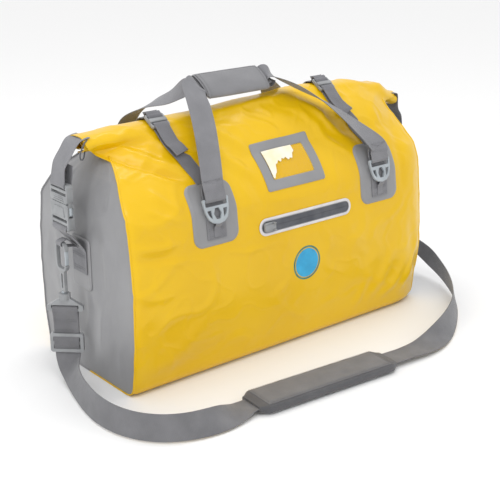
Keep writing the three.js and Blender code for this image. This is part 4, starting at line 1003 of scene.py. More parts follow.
def welded_patch(
    name, centre, top, width, height, radius, side, low, thick, material, columns, rows, rim=0.0
):
    """A rounded rectangle of film on the skin, thinner at its melted edge"""
    def at(u, v):
        down = height * (0.5 - 0.5 * math.cos(math.pi * v))
        into = max(0.0, radius - min(down, height - down))
        half = width / 2 - radius + math.sqrt(radius ** 2 - into ** 2)
        across = (2 * u - 1) * half
        x, s = centre + across, top + down
        edge = min(half - abs(across), down, height - down)
        swell = thick * (0.35 + 0.65 * smooth_step(0, 0.0016, edge))
        swell += rim * math.exp(-(((edge - 0.0045) / 0.0012) ** 2))
        return skin_point(x, s, side, low + swell), skin_point(x, s, side, low - 0.0004), (across, down)
    return slab(name, columns, rows, at, material, "bag")


def wall_up(x, s, side):
    above, below = (bare_point(x, s + step, side) for step in (-0.008, 0.008))
    return Vector((0, *(above - below).yz)).normalized()


def bare_point(x, s, side, lift=0.0):
    place, out = bare_wall(x, s)
    return Vector((x, side * (place.x + lift * out.x), place.y + lift * out.y))


def moulded(node, edge, material):
    """A copy of a moulded CAD part with its facets merged and its edges rounded off"""
    source = frame["nodes"][node]
    piece = bpy.data.objects.new(f"{node}_moulded", source.data.copy())
    bpy.context.scene.collection.objects.link(piece)
    bpy.ops.object.select_all(action="DESELECT")
    piece.select_set(True)
    bpy.context.view_layer.objects.active = piece
    bpy.ops.mesh.customdata_custom_splitnormals_clear()
    piece.data.materials.clear()
    piece.data.materials.append(material)
    made = bmesh.new()
    made.from_mesh(piece.data)
    bmesh.ops.remove_doubles(made, verts=made.verts, dist=0.00002)
    bmesh.ops.dissolve_limit(made, angle_limit=math.radians(3), verts=made.verts, edges=made.edges)
    bmesh.ops.recalc_face_normals(made, faces=made.faces)
    made.to_mesh(piece.data)
    made.free()
    bevel = piece.modifiers.new("edges", "BEVEL")
    bevel.width = edge
    bevel.segments = 3
    bevel.limit_method = "ANGLE"
    bevel.angle_limit = math.radians(34)
    bpy.ops.object.modifier_apply(modifier="edges")
    bpy.ops.object.shade_smooth_by_angle(angle=math.radians(38))
    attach(piece, source["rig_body"])
    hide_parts(node)
    return piece


SIDES = (("front", -1), ("back", 1))
HANDS = (("left", -1), ("right", 1))
TAB_HALF = 0.0175
TAB_TOP = 0.150
TAB_FOOT = 0.2035
for side_name, side in SIDES:
    for hand_name, hand in HANDS:
        where = f"{side_name}_{hand_name}"
        x = hand * PATCH_X
        patch = welded_patch(
            f"welded_patch_{where}", x, PATCH_TOP, PATCH_WIDTH, PATCH_HEIGHT, PATCH_ROUND, side,
            0.0002, 0.0013, grey_coat, 34, 40, rim=0.0005,
        )
        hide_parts(f"patch_{where}")

        tab_route = [skin_point(x, TAB_FOOT + (TAB_TOP - TAB_FOOT) * k / 7, side, 0.0024) for k in range(8)]
        tab, _ = webbing(
            f"tab_webbing_{where}", tab_route, [X_AXIS] * 8, 2 * TAB_HALF, WEB_THICK, handle_webbing, "bag",
            18,
        )
        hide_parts(f"ring_tab_{where}")
        over_route = [skin_point(x, s, side, lift) for s, lift in (
            (0.2005, 0.0036), (0.192, 0.0036), (0.1855, 0.0052), (0.1825, 0.0082), (0.1795, 0.0098),
            (0.1765, 0.0092),
            (0.1745, 0.0070), (0.1735, 0.0048), (0.1720, 0.0036),
        )]
        loop_piece, _ = webbing(
            f"tab_loop_{where}", over_route, [X_AXIS] * 9, 0.0125, 0.0009, handle_webbing, "bag", 26,
        )
        tab_rows = []
        for s in (0.1868, 0.1895, 0.1975, 0.2010):
            row = [skin_point(x + TAB_HALF * 0.88 * (k / 5 - 1), s, side, 0.0034) for k in range(11)]
            out = skin_out(x, s, side)
            tab_rows.append([(p, out) for p in row])
        stitching(f"tab_stitching_{where}", tab_rows, "bag", pitch=0.0032, long=0.0024)

        moulded(f"handle_ring_{where}", 0.0011, ring_nylon)

# ---- Handles --------------------------------------------------------------------------------
# Each handle is one length of 38 mm webbing. It goes round the top bar of a ring, is sewn back on
# itself, climbs over the shoulder, runs through the grip and comes down to the other ring.

GRIP_PLACE = Vector((-0.040, -0.002, 0.411))
GRIP_LENGTH = 0.123
GRIP_TILT = math.radians(34)
GRIP_HALF_WIDTH = 0.0225
GRIP_HALF_THICK = 0.005
grip_wide = Vector((0, -math.cos(GRIP_TILT), -math.sin(GRIP_TILT)))
grip_out = Vector((0, -math.sin(GRIP_TILT), math.cos(GRIP_TILT)))


def grip_point(along, wide, out):
    return GRIP_PLACE + X_AXIS * along + grip_wide * wide + grip_out * out


# The free stretch between ring and grip: share of the way, how far it bows up, how far it has turned
TAUT = ((0.2, 0.007, 0.08), (0.5, 0.012, 0.28), (0.78, 0.008, 0.52))
STANDING = ((0.2, 0.030, 0.08), (0.5, 0.024, 0.28), (0.78, 0.008, 0.52))


def handle_half(side, hand):
    """From the middle of the grip out to one ring: points, and the direction of the width at each"""
    level = side * -0.001
    x = hand * PATCH_X
    reach = GRIP_LENGTH / 2
    inside = grip_wide * -side * hand
    flat = Vector((-1, 0, 0)) * hand
    up = wall_up(x, RING_TOP + RING_HEIGHT / 2, side)
    out = (X_AXIS * -side).cross(up)
    axis = bare_point(x, RING_TOP + RING_HEIGHT / 2, side) + out * RING_LIFT
    axis += up * (RING_HEIGHT - RING_BAR) / 2
    leave = grip_point(hand * (reach + 0.019), 0, 0) + Vector((0, side * 0.012, -0.002))
    start = axis + up * 0.024 + out * RING_WRAP * 0.8
    bow = Vector((0, side * 0.35, 0.94))
    inner = [(0.0, 1.0), (reach - 0.008, 1.0), (reach + 0.001, 1.1), (reach + 0.008, 5.3)]
    route = [grip_point(hand * along, 0, level * rate) for along, rate in inner] + [leave]
    turns = [inside * hand] * 4 + [flat.lerp(inside * hand, 0.75)]
    for share, height, turn in reversed(STANDING if hand < 0 < side else TAUT):
        route.append(start.lerp(leave, share) + bow * height)
        turns.append(flat.lerp(inside * hand, turn))
    if side < 0 < hand:
        # This half is twisted on its edge where it comes out of the grip
        turns[4:8] = [
            Vector((-0.25, -0.9, 0.0)), Vector((-0.44, -0.86, 0.24)),
            Vector((-0.72, -0.62, 0.16)), Vector((-0.94, -0.3, 0.06)),
        ]
    route += [
        start, axis + up * 0.012 + out * RING_WRAP * 0.9, axis + up * 0.004 + out * RING_WRAP,
        axis - up * 0.001 + out * RING_WRAP * 0.95, axis - up * RING_WRAP,
        axis - up * 0.001 - out * RING_WRAP * 0.95, axis + up * 0.004 - out * RING_WRAP,
        axis + up * 0.013 - out * RING_WRAP * 0.95, axis + up * 0.022 + out * RING_WRAP * 0.28,
    ]
    turns += [flat] * 9
    return route, turns, axis, up, out


for side_name, side in SIDES:
    for hand_name, hand in HANDS:
        where = f"{side_name}_{hand_name}"
        route, turns, axis, up, out = handle_half(side, hand)
        half, _ = webbing(
            f"handle_webbing_{where}", route, turns, WEB_WIDE - 0.001, WEB_THICK, handle_webbing, None, 150,
            cup=0.0003,
        )
        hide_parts(f"handle_{side_name}")
        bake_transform(half)
        rows = []
        front_face = RING_WRAP * 0.86 + WEB_THICK / 2
        for high in (0.0145, 0.0175, 0.0270):
            line = axis + up * high + out * (front_face - 0.0001)
            rows.append([(line + X_AXIS * (0.0335 * (k / 10 - 0.5)), out) for k in range(11)])
        for way in (-1, 1):
            rows.append([
                (
                    axis + up * (0.0175 + 0.0095 * k / 6) + out * front_face
                    + X_AXIS * way * 0.0165 * (1 - k / 6 * 2),
                    out,
                )
                for k in range(7)
            ])
        sewn = stitching(f"handle_stitching_{where}", rows, None, pitch=0.0034, long=0.0026)
        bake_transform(sewn)

# ---- Grip -----------------------------------------------------------------------------------
# A padded cloth wrap round both handles. Its flap closes over the top and down the front with a
# hook-and-loop strip, and its edges are bound and stitched.

GRIP_WALL = 0.0024
FLAP_THICK = 0.0016
grip_cloth = woven("grip_cloth", rgb(118, 118, 121), rgb(138, 138, 141), 0.0011, 0.0011, 0.00012)


def grip_sleeve(name, start, end, grow, thick, length, columns, body, chamfer=0.0, puff=0.0):
    def at(u, v):
        angle = start + (end - start) * u
        from_edge = u * (GRIP_HALF_WIDTH * 2.6)
        trim = chamfer * max(0.0, 1 - from_edge / max(chamfer, 1e-6)) if chamfer else 0.0
        along = (v - 0.5) * (length - 2 * trim)
        fill = puff * math.sin(math.pi * v) ** 0.3 * (0.6 + 0.4 * math.sin(angle * 2 + 1))
        wave = 0.0004 * noise.noise(Vector((along * 40, angle * 2, grow * 900)))
        edge = min(min(u, 1 - u) * 0.06, min(v, 1 - v) * length)
        full = 0.45 + 0.55 * smooth_step(0, 0.003, edge)
        rim = 0.0004 * math.exp(-(((edge - 0.0042) / 0.0011) ** 2))

        def place(g):
            return grip_point(
                along, (GRIP_HALF_WIDTH + g) * math.cos(angle), (GRIP_HALF_THICK + g) * math.sin(angle),
            )
        outer = place(grow + thick * full + fill * 0.5 + wave - rim)
        return outer, place(grow), (along, angle * 0.018)
    return slab(name, columns, 50, at, grip_cloth, body)


wrap = grip_sleeve(
    "grip_sleeve", -0.42 * math.pi, 1.5 * math.pi, 0, GRIP_WALL, GRIP_LENGTH, 64, "bag", puff=0.0002
)
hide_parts("grip_wrap")
flap = grip_sleeve(
    "grip_flap_cloth", -0.26 * math.pi, 0.8 * math.pi, GRIP_WALL + GAP, FLAP_THICK, GRIP_LENGTH - 0.004, 44,
    "grip_flap", chamfer=0.009, puff=0.0008,
)
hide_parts("grip_flap")

FLAP_GROW = GRIP_WALL + GAP + FLAP_THICK
ROW_HALF = GRIP_LENGTH / 2 - 0.002 - 0.0045
ROW_STEPS = 29


def on_flap(along, angle):
    """A spot on the outside of the flap, and the way it faces"""
    wide, out = math.cos(angle), math.sin(angle)
    spot = grip_point(along, (GRIP_HALF_WIDTH + FLAP_GROW) * wide, (GRIP_HALF_THICK + FLAP_GROW) * out)
    return spot, (grip_wide * wide * GRIP_HALF_THICK + grip_out * out * GRIP_HALF_WIDTH).normalized()


flap_rows = [
    [on_flap(along, (-0.16 + 0.90 * k / ROW_STEPS) * math.pi) for k in range(ROW_STEPS + 1)]
    for along in (-ROW_HALF, ROW_HALF)
]
flap_rows += [
    [on_flap(-ROW_HALF + 2 * ROW_HALF * k / ROW_STEPS, angle) for k in range(ROW_STEPS + 1)]
    for angle in (-0.16 * math.pi, 0.74 * math.pi)
]
stitching("grip_stitching", flap_rows, "grip_flap")

# ---- Cinch straps ---------------------------------------------------------------------------
# 25 mm webbing from the back patches over the roll to ladder-lock buckles. The lower halves come up
# from the front patches, go through the locks and fold back down, with a hemmed end to pull on.

CINCH_PLACE = {-1: -0.190, 1: 0.143}
CINCH_FOOT = 0.170
WEB_NARROW = 0.025
LOCK_HEIGHT = 0.026
LOCK_ANGLE = math.radians(32)
cinch_webbing = woven("cinch_webbing", rgb(98, 98, 103), rgb(126, 126, 131), 0.0014, 0.0022, 0.00022)


def down_to(x, y):
    """How far down the front the skin at x is y metres in front of the middle"""
    low, high = -0.02, 0.11
    for _ in range(24):
        middle = (low + high) / 2
        if skin_point(x, middle, -1).y > -y:
            low = middle
        else:
            high = middle
    return (low + high) / 2


for hand_name, hand in HANDS:
    x = CINCH_PLACE[hand]
    top = roll_height(x)
    lock_up = Vector((0, math.cos(LOCK_ANGLE), math.sin(LOCK_ANGLE)))
    lock_out = Vector((0, -math.sin(LOCK_ANGLE), math.cos(LOCK_ANGLE)))
    lift = 0.0024
    over = 0.011 + 0.0008 + lift
    beyond = 0.022 + 0.0008 + lift
    lock_place = Vector((x, -beyond * 0.62, top + over * 0.75 + 0.002 + 0.0012))
    reach = LOCK_HEIGHT / 2 - 0.003

    def near(up_by, out_by):
        return lock_place + lock_up * up_by + lock_out * out_by

    def slanting(s, side, up_by):
        share = max(0.0, min(1.0, (s - 0.036) / 0.075))
        return skin_point(x + (hand * CINCH_FOOT - x) * share, s, side, up_by)

    back_route = [slanting(s, 1, lift) for s in (0.116, 0.100, 0.083, 0.065, 0.048)] + [
        Vector((x, 0.029, top - 0.006)), Vector((x, 0.0245, top + 0.006)), Vector((x, 0.014, top + 0.0145)),
        Vector((x, 0.002, top + 0.0168)), near(LOCK_HEIGHT / 2 + 0.004, 0.0026), near(reach + 0.001, 0.0031),
        near(reach - 0.0015, 0.0032), near(reach - 0.0055, 0.0005), near(reach - 0.003, -0.0032),
        near(LOCK_HEIGHT / 2 + 0.003, -0.0022), near(LOCK_HEIGHT / 2 + 0.009, -0.0006),
    ]
    strap_over, _ = webbing(
        f"cinch_webbing_{hand_name}", back_route, [X_AXIS] * len(back_route), WEB_NARROW, WEB_THICK,
        cinch_webbing, "bag", 110, cup=0.0003,
    )
    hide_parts(f"cinch_strap_{hand_name}")

    s_near = down_to(x, 0.036)
    front_route = [slanting(s, -1, 0.0016) for s in (0.116, 0.105, 0.092, 0.080, 0.068)]
    front_route += [slanting(s_near + 0.012, -1, 0.0018)]
    front_route += [
        near(-reach - 0.009, -0.0040), near(-reach - 0.003, -0.0036), near(-reach + 0.0025, -0.0033),
        near(-reach + 0.0056, 0.0), near(-reach + 0.0025, 0.0033), near(-reach - 0.004, 0.0030),
        near(-reach - 0.012, 0.0012),
    ]
    front_route += [slanting(s_near + down, -1, 0.0062) for down in (0.012, 0.022)]
    front_route += [slanting(s_near + 0.031, -1, 0.0074), slanting(s_near + 0.036, -1, 0.0080)]
    tail, tail_line = webbing(
        f"cinch_tail_webbing_{hand_name}", front_route, [X_AXIS] * len(front_route), WEB_NARROW, WEB_THICK,
        cinch_webbing, "bag", 120, cup=0.0002,
    )
    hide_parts(f"cinch_tail_{hand_name}")
    hem_out = skin_out(x, s_near + 0.030, -1)
    hem_route = [tail_line[-1 - k] + hem_out * -0.0014 for k in range(7)]
    hem, _ = webbing(
        f"cinch_hem_{hand_name}", hem_route, [X_AXIS] * 7, WEB_NARROW * 0.99, WEB_THICK, cinch_webbing,
        "bag", 12,
    )
    hem_rows = [
        [
            (
                tail_line[k] + hem_out * 0.0008 + X_AXIS * (WEB_NARROW * 0.84 * (m / 8 - 0.5)), hem_out
            ) for m in range(9)
        ]
        for k in (-4, -8)
    ]
    stitching(f"cinch_stitching_{hand_name}", hem_rows, "bag", pitch=0.0032, long=0.0024)
    moulded(f"cinch_buckle_{hand_name}", 0.0010, buckle_nylon)

    # The lock's lever: a low rounded hood over the middle bar
    bpy.ops.object.select_all(action="DESELECT")
    bpy.ops.mesh.primitive_cube_add(size=1)
    lever = bpy.context.object
    lever.name = f"cinch_lever_{hand_name}"
    lever.data.transform(Matrix.Diagonal((0.0305, 0.0075, 0.0042, 1)))
    basis = Matrix((X_AXIS, lock_up, lock_out)).transposed().to_4x4()
    lever.data.transform(Matrix.Translation(near(reach - 0.0105, 0.0024)) @ basis)
    lever.data.materials.append(buckle_nylon)
    rounding = lever.modifiers.new("rounding", "BEVEL")
    rounding.width = 0.0014
    rounding.segments = 3
    bpy.ops.object.modifier_apply(modifier="rounding")
    bpy.ops.object.shade_smooth_by_angle(angle=math.radians(40))
    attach(lever, "bag")

# ---- Window, zip and badge ------------------------------------------------------------------
# A clear film pocket welded in a grey frame, a short coated zip in a pale surround, and a plain
# round printed badge, all on the front.

WINDOW_X = -0.004
WINDOW_TOP = 0.072
WINDOW_WIDTH = 0.116
WINDOW_HEIGHT = 0.083
WINDOW_BORDER = 0.0165


def rounded_ring(width, height, radius, steps):
    """Points evenly round a rounded rectangle, centred on nothing, first at the bottom left"""
    radius = min(radius, width / 2 - 1e-4, height / 2 - 1e-4)
    corners = [(1, -1, -90), (1, 1, 0), (-1, 1, 90), (-1, -1, 180)]
    path = []
    for sx, sy, start in corners:
        x, y = sx * (width / 2 - radius), sy * (height / 2 - radius)
        for k in range(9):
            angle = math.radians(start + 90 * k / 8)
            path.append((x + radius * math.cos(angle), y + radius * math.sin(angle)))
    path.append(path[0])
    lengths = [0.0]
    for (x0, y0), (x1, y1) in zip(path, path[1:]):
        lengths.append(lengths[-1] + math.hypot(x1 - x0, y1 - y0))
    points = []
    for k in range(steps):
        at = lengths[-1] * k / steps
        i = find(lengths, at)
        share = (at - lengths[i]) / max(1e-9, lengths[i + 1] - lengths[i])
        (x0, y0), (x1, y1) = path[i], path[i + 1]
        points.append((x0 + (x1 - x0) * share, y0 + (y1 - y0) * share))
    return points


def welded_border(
    name, centre, top, width, height, radius, border, low, thick, steps, rows, material, inner_radius=None
):
    """A flat border on the front skin: a rounded rectangle with a rounded opening"""
    outer = rounded_ring(width, height, radius, steps)
    inner_radius = max(0.001, radius - border) if inner_radius is None else inner_radius
    inner = rounded_ring(width - 2 * border, height - 2 * border, inner_radius, steps)

    def at(u, v):
        i = round(u * steps) % steps
        x = centre + outer[i][0] + (inner[i][0] - outer[i][0]) * v
        s = top + height / 2 - (outer[i][1] + (inner[i][1] - outer[i][1]) * v)
        edge = min(v, 1 - v) * border
        swell = thick * (0.3 + 0.7 * smooth_step(0, 0.0014, edge))
        return skin_point(x, s, -1, low + swell), skin_point(x, s, -1, low - 0.0003), (x, s)
    return slab(name, steps, rows, at, material, "bag", ring=True)


film = Finish("clear_film", 0.07, IOR=1.5, Coat_Weight=1.0, Coat_Roughness=0.03, Alpha=0.16)
film.colour(film.ramp(film.noise(9, 2), [(0.35, rgb(236, 196, 40)), (0.6, rgb(244, 212, 70))]))
film.bump((film.noise(16, 2), 0.004))
film = film.material
# Colour of the painted reflection on the window: near-white and nearly opaque, standing for the lights' glare
# on the film
painted_reflection = Finish("film_painted_reflection", 0.12, IOR=1.5, Coat_Weight=1.0, Coat_Roughness=0.05, Alpha=0.86)
painted_reflection.colour(painted_reflection.ramp(painted_reflection.noise(26, 3), [(0.35, rgb(255, 246, 208)), (0.6, rgb(255, 254, 248))]))
painted_reflection = painted_reflection.material


def pane_at(u, v):
    x = WINDOW_X + (2 * u - 1) * (WINDOW_WIDTH / 2 - WINDOW_BORDER + 0.002)
    s = WINDOW_TOP + WINDOW_BORDER - 0.002 + v * (WINDOW_HEIGHT - 2 * WINDOW_BORDER + 0.004)
    puff = 0.0012 * math.sin(math.pi * u) * math.sin(math.pi * v)
    return skin_point(x, s, -1, 0.0009 + puff), skin_point(x, s, -1, 0.0005 + puff), (x, s)


pane = slab("window_film", 40, 30, pane_at, film, "bag")
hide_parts("window_pane")

# Painted reflection: a near-white, nearly opaque sheet lies on the film over most of its upper left, with a
# wavy edge, and stands for the glare of the lights on it


def painted_reflection_at(u, v):
    width, height = WINDOW_WIDTH - 2 * WINDOW_BORDER, WINDOW_HEIGHT - 2 * WINDOW_BORDER
    left, top = WINDOW_X - width / 2, WINDOW_TOP + WINDOW_BORDER
    foot = 0.93 - 0.50 * smooth_step(0.0, 0.40, u) + 0.035 * math.sin(u * 19) + 0.03 * math.sin(u * 47)
    foot -= 0.22 * smooth_step(0.86, 1.0, u)
    x, s = left + u * width * 0.72, top + max(0.06, foot) * height * v
    return skin_point(x, s, -1, 0.0023), skin_point(x, s, -1, 0.0021), (x, s)


# The painted reflection sheet, laid just over the film
painted_reflection_piece = slab("window_painted_reflection", 60, 20, painted_reflection_at, painted_reflection, "bag")
window = welded_border(
    "window_border", WINDOW_X, WINDOW_TOP, WINDOW_WIDTH, WINDOW_HEIGHT, 0.0035, WINDOW_BORDER, 0.0006,
    0.0013, 160, 10,
    grey_coat, inner_radius=0.0025,
)
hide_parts("window_frame")

ZIP_X = 0.007
ZIP_TOP = 0.193
ZIP_LENGTH = 0.190
ZIP_HEIGHT = 0.027
ZIP_BORDER = 0.0045
ZIP_MIDDLE = ZIP_TOP + ZIP_HEIGHT / 2

zip_coat = Finish("zip_coat", 0.55)
zip_coat.colour(zip_coat.ramp(zip_coat.noise(60, 3), [(0.3, rgb(70, 73, 80)), (0.7, rgb(92, 94, 100))]))
zip_coat.bump((zip_coat.noise(700, 2), 0.00008))
zip_coat = zip_coat.material
pale_film = Finish("pale_film", 0.35, Coat_Weight=0.2)
pale_film.colour(
    pale_film.ramp(pale_film.noise(40, 3), [(0.3, rgb(206, 203, 206)), (0.7, rgb(222, 220, 221))])
)
pale_film.bump((pale_film.noise(300, 2), 0.00006))
pale_film = pale_film.material


def tape_at(u, v):
    x = ZIP_X + (2 * u - 1) * (ZIP_LENGTH / 2 - ZIP_BORDER + 0.001)
    across = (2 * v - 1) * (ZIP_HEIGHT / 2 - ZIP_BORDER + 0.001)
    end = max(0.0, abs(x - ZIP_X) - (ZIP_LENGTH - ZIP_HEIGHT) / 2)
    across *= math.sqrt(max(0.02, 1 - (end / (ZIP_HEIGHT / 2 - ZIP_BORDER + 0.002)) ** 2))
    welt = 0.0005 * math.exp(-((across / 0.0028) ** 2)) - 0.0007 * math.exp(-((across / 0.0005) ** 2))
    return (
        skin_point(x, ZIP_MIDDLE + across, -1, 0.0010 + welt),
        skin_point(x, ZIP_MIDDLE + across, -1, 0.0002), (x, across),
    )


tape = slab("zip_coated_tape", 120, 40, tape_at, zip_coat, "bag")
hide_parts("zip_tape")
surround = welded_border(
    "zip_welt", ZIP_X, ZIP_TOP, ZIP_LENGTH, ZIP_HEIGHT, ZIP_HEIGHT / 2 - 0.0001, ZIP_BORDER, 0.0009, 0.0012,
    220, 8, pale_film,
)
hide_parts("zip_surround")
lip = welded_border(
    "zip_inner_lip", ZIP_X, ZIP_TOP + ZIP_BORDER - 0.0002, ZIP_LENGTH - 2 * ZIP_BORDER + 0.0004,
    ZIP_HEIGHT - 2 * ZIP_BORDER + 0.0004, ZIP_HEIGHT / 2 - ZIP_BORDER, 0.0011, 0.0014, 0.0008, 200, 4,
    grey_coat,
)
moulded("zip_slider", 0.0010, buckle_nylon)
moulded("zip_pull", 0.0005, buckle_nylon)

BADGE_X = 0.006
BADGE_S = 0.281
BADGE_SIZE = 0.056
badge_ink = Finish("badge_ink", 0.4, Coat_Weight=0.15)
badge_ink.colour(badge_ink.ramp(badge_ink.noise(70, 3), [(0.3, rgb(24, 150, 200)), (0.7, rgb(40, 170, 218))]))
badge_ink.bump((badge_ink.noise(500, 2), 0.00004))
badge_ink = badge_ink.material
ring_ink = Finish("badge_ring_ink", 0.45)
ring_ink.colour(ring_ink.ramp(ring_ink.noise(70, 3), [(0.3, rgb(66, 110, 96)), (0.7, rgb(88, 136, 116))]))
ring_ink.bump((ring_ink.noise(500, 2), 0.00004))
ring_ink = ring_ink.material


def badge_at(u, v):
    angle = 2 * math.pi * u
    radius = (BADGE_SIZE / 2 - 0.0045) * max(0.002, v)
    x, s = BADGE_X + radius * math.cos(angle), BADGE_S + radius * math.sin(angle)
    return skin_point(x, s, -1, 0.0004), skin_point(x, s, -1, 0.0001), (x, s)


badge = slab("badge_disc", 72, 12, badge_at, badge_ink, "bag", ring=True)
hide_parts("front_badge")
badge_ring = welded_border(
    "badge_ring", BADGE_X, BADGE_S - BADGE_SIZE / 2, BADGE_SIZE, BADGE_SIZE, BADGE_SIZE / 2, 0.0030, 0.0001,
    0.0003, 120, 3,
    ring_ink,
)

# ---- End straps and side-release buckles ----------------------------------------------------
# A strap leaves each end of the roll, goes through the plug of a side-release buckle and folds
# back on itself. The socket hangs on a strap sewn to a grey patch, whose cut end hangs free.

END_PATCH_WIDTH = 0.052
END_PATCH_FOOT = 0.138
END_PATCH_HEIGHT = 0.080
BUCKLE_OUT = {-1: 0.027, 1: 0.011}
BUCKLE_FOOT = {-1: 0.237, 1: 0.205}
SOCKET_HEIGHT = 0.040
PLUG_HEIGHT = 0.028
BUCKLE_WIDTH = 0.047
BUCKLE_THICK = 0.011
HALF_LENGTH = 0.320


def shaped_box(name, size, place, basis, rounding, material, body, segments=3, taper=None):
    """A rounded block: a cube scaled, turned onto basis and moved; taper narrows its top"""
    bpy.ops.object.select_all(action="DESELECT")
    bpy.ops.mesh.primitive_cube_add(size=1)
    block = bpy.context.object
    block.name = name
    if taper:
        for corner in block.data.vertices:
            if corner.co.y > 0:
                corner.co.x *= taper
    block.data.transform(Matrix.Diagonal((*size, 1)))
    block.data.transform(Matrix.Translation(place) @ basis.to_4x4())
    block.data.materials.append(material)
    edges = block.modifiers.new("rounding", "BEVEL")
    edges.width = rounding
    edges.segments = segments
    bpy.ops.object.modifier_apply(modifier="rounding")
    bpy.ops.object.shade_smooth_by_angle(angle=math.radians(40))
    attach(block, body)
    return block


for hand_name, hand in HANDS:
    facing = hand * X_AXIS
    out_by, foot = BUCKLE_OUT[hand], BUCKLE_FOOT[hand]
    upright = Matrix((Y_AXIS, Z_AXIS, facing)).transposed()

    def from_end(out, y, z):
        return Vector((hand * (HALF_LENGTH + out), y, z))

    def end_patch_at(u, v):
        down = END_PATCH_HEIGHT * (0.5 - 0.5 * math.cos(math.pi * v))
        into = max(0.0, 0.008 - min(down, END_PATCH_HEIGHT - down))
        half = END_PATCH_WIDTH / 2 - 0.008 + math.sqrt(0.008 ** 2 - into ** 2)
        y, z = (2 * u - 1) * half, END_PATCH_FOOT + END_PATCH_HEIGHT - down
        edge = min(half - abs(y), down, END_PATCH_HEIGHT - down)
        swell = 0.0016 * (
            0.3 + 0.7 * smooth_step(0, 0.0015, edge)
        ) + 0.0005 * math.exp(-(((edge - 0.004) / 0.0011) ** 2))
        return from_end(0.0003 + swell, y, z), from_end(0.0001, y, z), (y, z)

    end_patch = slab(f"end_patch_film_{hand_name}", 30, 36, end_patch_at, grey_coat, "bag")
    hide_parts(f"end_patch_{hand_name}")

    plug_foot = foot + SOCKET_HEIGHT + 2 * GAP
    plug_top = plug_foot + PLUG_HEIGHT
    roll_end = 0.3187
    roll_z = roll_height(hand * roll_end)
    spread = out_by - 0.007
    slack = 0.004 if hand < 0 else 0.002
    drop = [
        Vector((hand * (roll_end - 0.012), 0, roll_z + 0.012)),
        Vector((hand * (roll_end - 0.003), 0, roll_z + 0.0108)),
        Vector((hand * (roll_end + spread * 0.35), 0, roll_z + 0.0065)),
        Vector((hand * (roll_end + spread * 0.9), 0, roll_z - 0.008 - (0.027 - out_by) * 0.5)),
        from_end(out_by + slack * 0.3, 0, (roll_z + plug_top) / 2),
        from_end(out_by + 0.0045, 0, plug_top + 0.006),
        from_end(out_by + 0.0062, 0, plug_top - 0.002), from_end(out_by + 0.0040, 0, plug_top - 0.0062),
        from_end(out_by, 0, plug_top - 0.0066), from_end(out_by - 0.0052, 0, plug_top - 0.0045),
        from_end(out_by - 0.0072, 0, plug_top + 0.003),
        from_end(out_by - 0.0052 - slack, 0, plug_top + 0.016),
        from_end(out_by - 0.0058 - slack, 0, plug_top + 0.026),
    ]
    if hand > 0:
        drop = drop[:-2] + [from_end(out_by - 0.0072, 0, plug_top + 0.010)]
    skew = [Y_AXIS.copy() for _ in drop]
    if hand < 0:
        for k in (3, 4):
            skew[k] = Vector((0.10, 1, 0.12))
    roll_strap, _ = webbing(
        f"roll_webbing_{hand_name}", drop, skew, WEB_WIDE, WEB_THICK, handle_webbing, None, 110, cup=0.0003,
    )
    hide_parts(f"roll_strap_{hand_name}")
    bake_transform(roll_strap)

    sewn = 0.0003 + 0.0016 + 0.0009
    tail_foot = max(foot - 0.073, END_PATCH_FOOT + 0.006)
    hang = [
        from_end(out_by - 0.0060, 0, foot + 0.014), from_end(out_by - 0.0068, 0, foot + 0.004),
        from_end(out_by - 0.0048, 0, foot + 0.0062), from_end(out_by, 0, foot + 0.0068),
        from_end(out_by + 0.0050, 0, foot + 0.0052), from_end(out_by + 0.0064, 0, foot - 0.001),
        from_end(sewn + (out_by - sewn) * 0.85, 0, foot - 0.010),
        from_end(sewn + (out_by - sewn) * 0.38, 0, foot - 0.024),
        from_end(sewn + 0.0012, 0, foot - 0.036), from_end(sewn + 0.0004, 0, foot - 0.046),
        from_end(sewn + 0.0004, 0, tail_foot),
    ]
    if hand > 0:
        hang = [from_end(out_by - 0.0072, 0, foot + 0.010)] + hang[1:]
    end_strap, _ = webbing(
        f"end_webbing_{hand_name}", hang, [Y_AXIS] * len(hang), WEB_WIDE, WEB_THICK, handle_webbing, "bag",
        100, cup=0.0003,
    )
    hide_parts(f"end_strap_{hand_name}")
    sewn_rows = []
    for z in (tail_foot + 0.006, tail_foot + 0.009, tail_foot + 0.026, tail_foot + 0.029):
        sewn_rows.append([(from_end(sewn + 0.0012, 0.033 * (k / 10 - 0.5), z), facing) for k in range(11)])
    stitching(f"end_stitching_{hand_name}", sewn_rows, "bag", pitch=0.0034, long=0.0026)

    moulded(f"buckle_socket_{hand_name}", 0.0014, buckle_nylon)
    moulded(f"buckle_plug_{hand_name}", 0.0012, buckle_nylon)
    front = BUCKLE_THICK / 2
    # A raised shield on the socket, and grip ribs either side of the plug's face
    shaped_box(
        f"socket_shield_{hand_name}", (0.030, 0.014, 0.0016),
        from_end(out_by + front + 0.0004, 0, foot + 0.0275), upright,
        0.0007, buckle_nylon, "bag", taper=0.82,
    )
    for way in (-1, 1):
        shaped_box(
            f"socket_cheek_{hand_name}_{'near' if way < 0 else 'far'}", (0.0050, 0.012, 0.0050),
            from_end(out_by, way * (BUCKLE_WIDTH / 2 - 0.0005), foot + 0.0295), upright, 0.0018, ring_nylon,
            f"buckle_plug_{hand_name}",
        )
    for k in range(3):
        shaped_box(
            f"plug_rib_{hand_name}_{k}", (0.028 - 0.003 * k, 0.0014, 0.0012),
            from_end(out_by + front - 0.0003, 0, plug_foot + 0.0025 + 0.0030 * k), upright, 0.0005,
            buckle_nylon,
            f"buckle_plug_{hand_name}",
        )

# ---- Snap hooks -----------------------------------------------------------------------------
# Moulded hooks on swivel heads. Each hook bites a narrow webbing loop on the end strap, and its
# sprung gate opens inwards. The head holds the end of the shoulder strap.

HOOK_OUT = 0.032
LOOP_Z = 0.2155
LOOP_START = {-1: 0.011, 1: 0.018}
HEAD_TURN = {-1: HEAD_TURN_LEFT, 1: HEAD_TURN_RIGHT}
strap_pieces = []

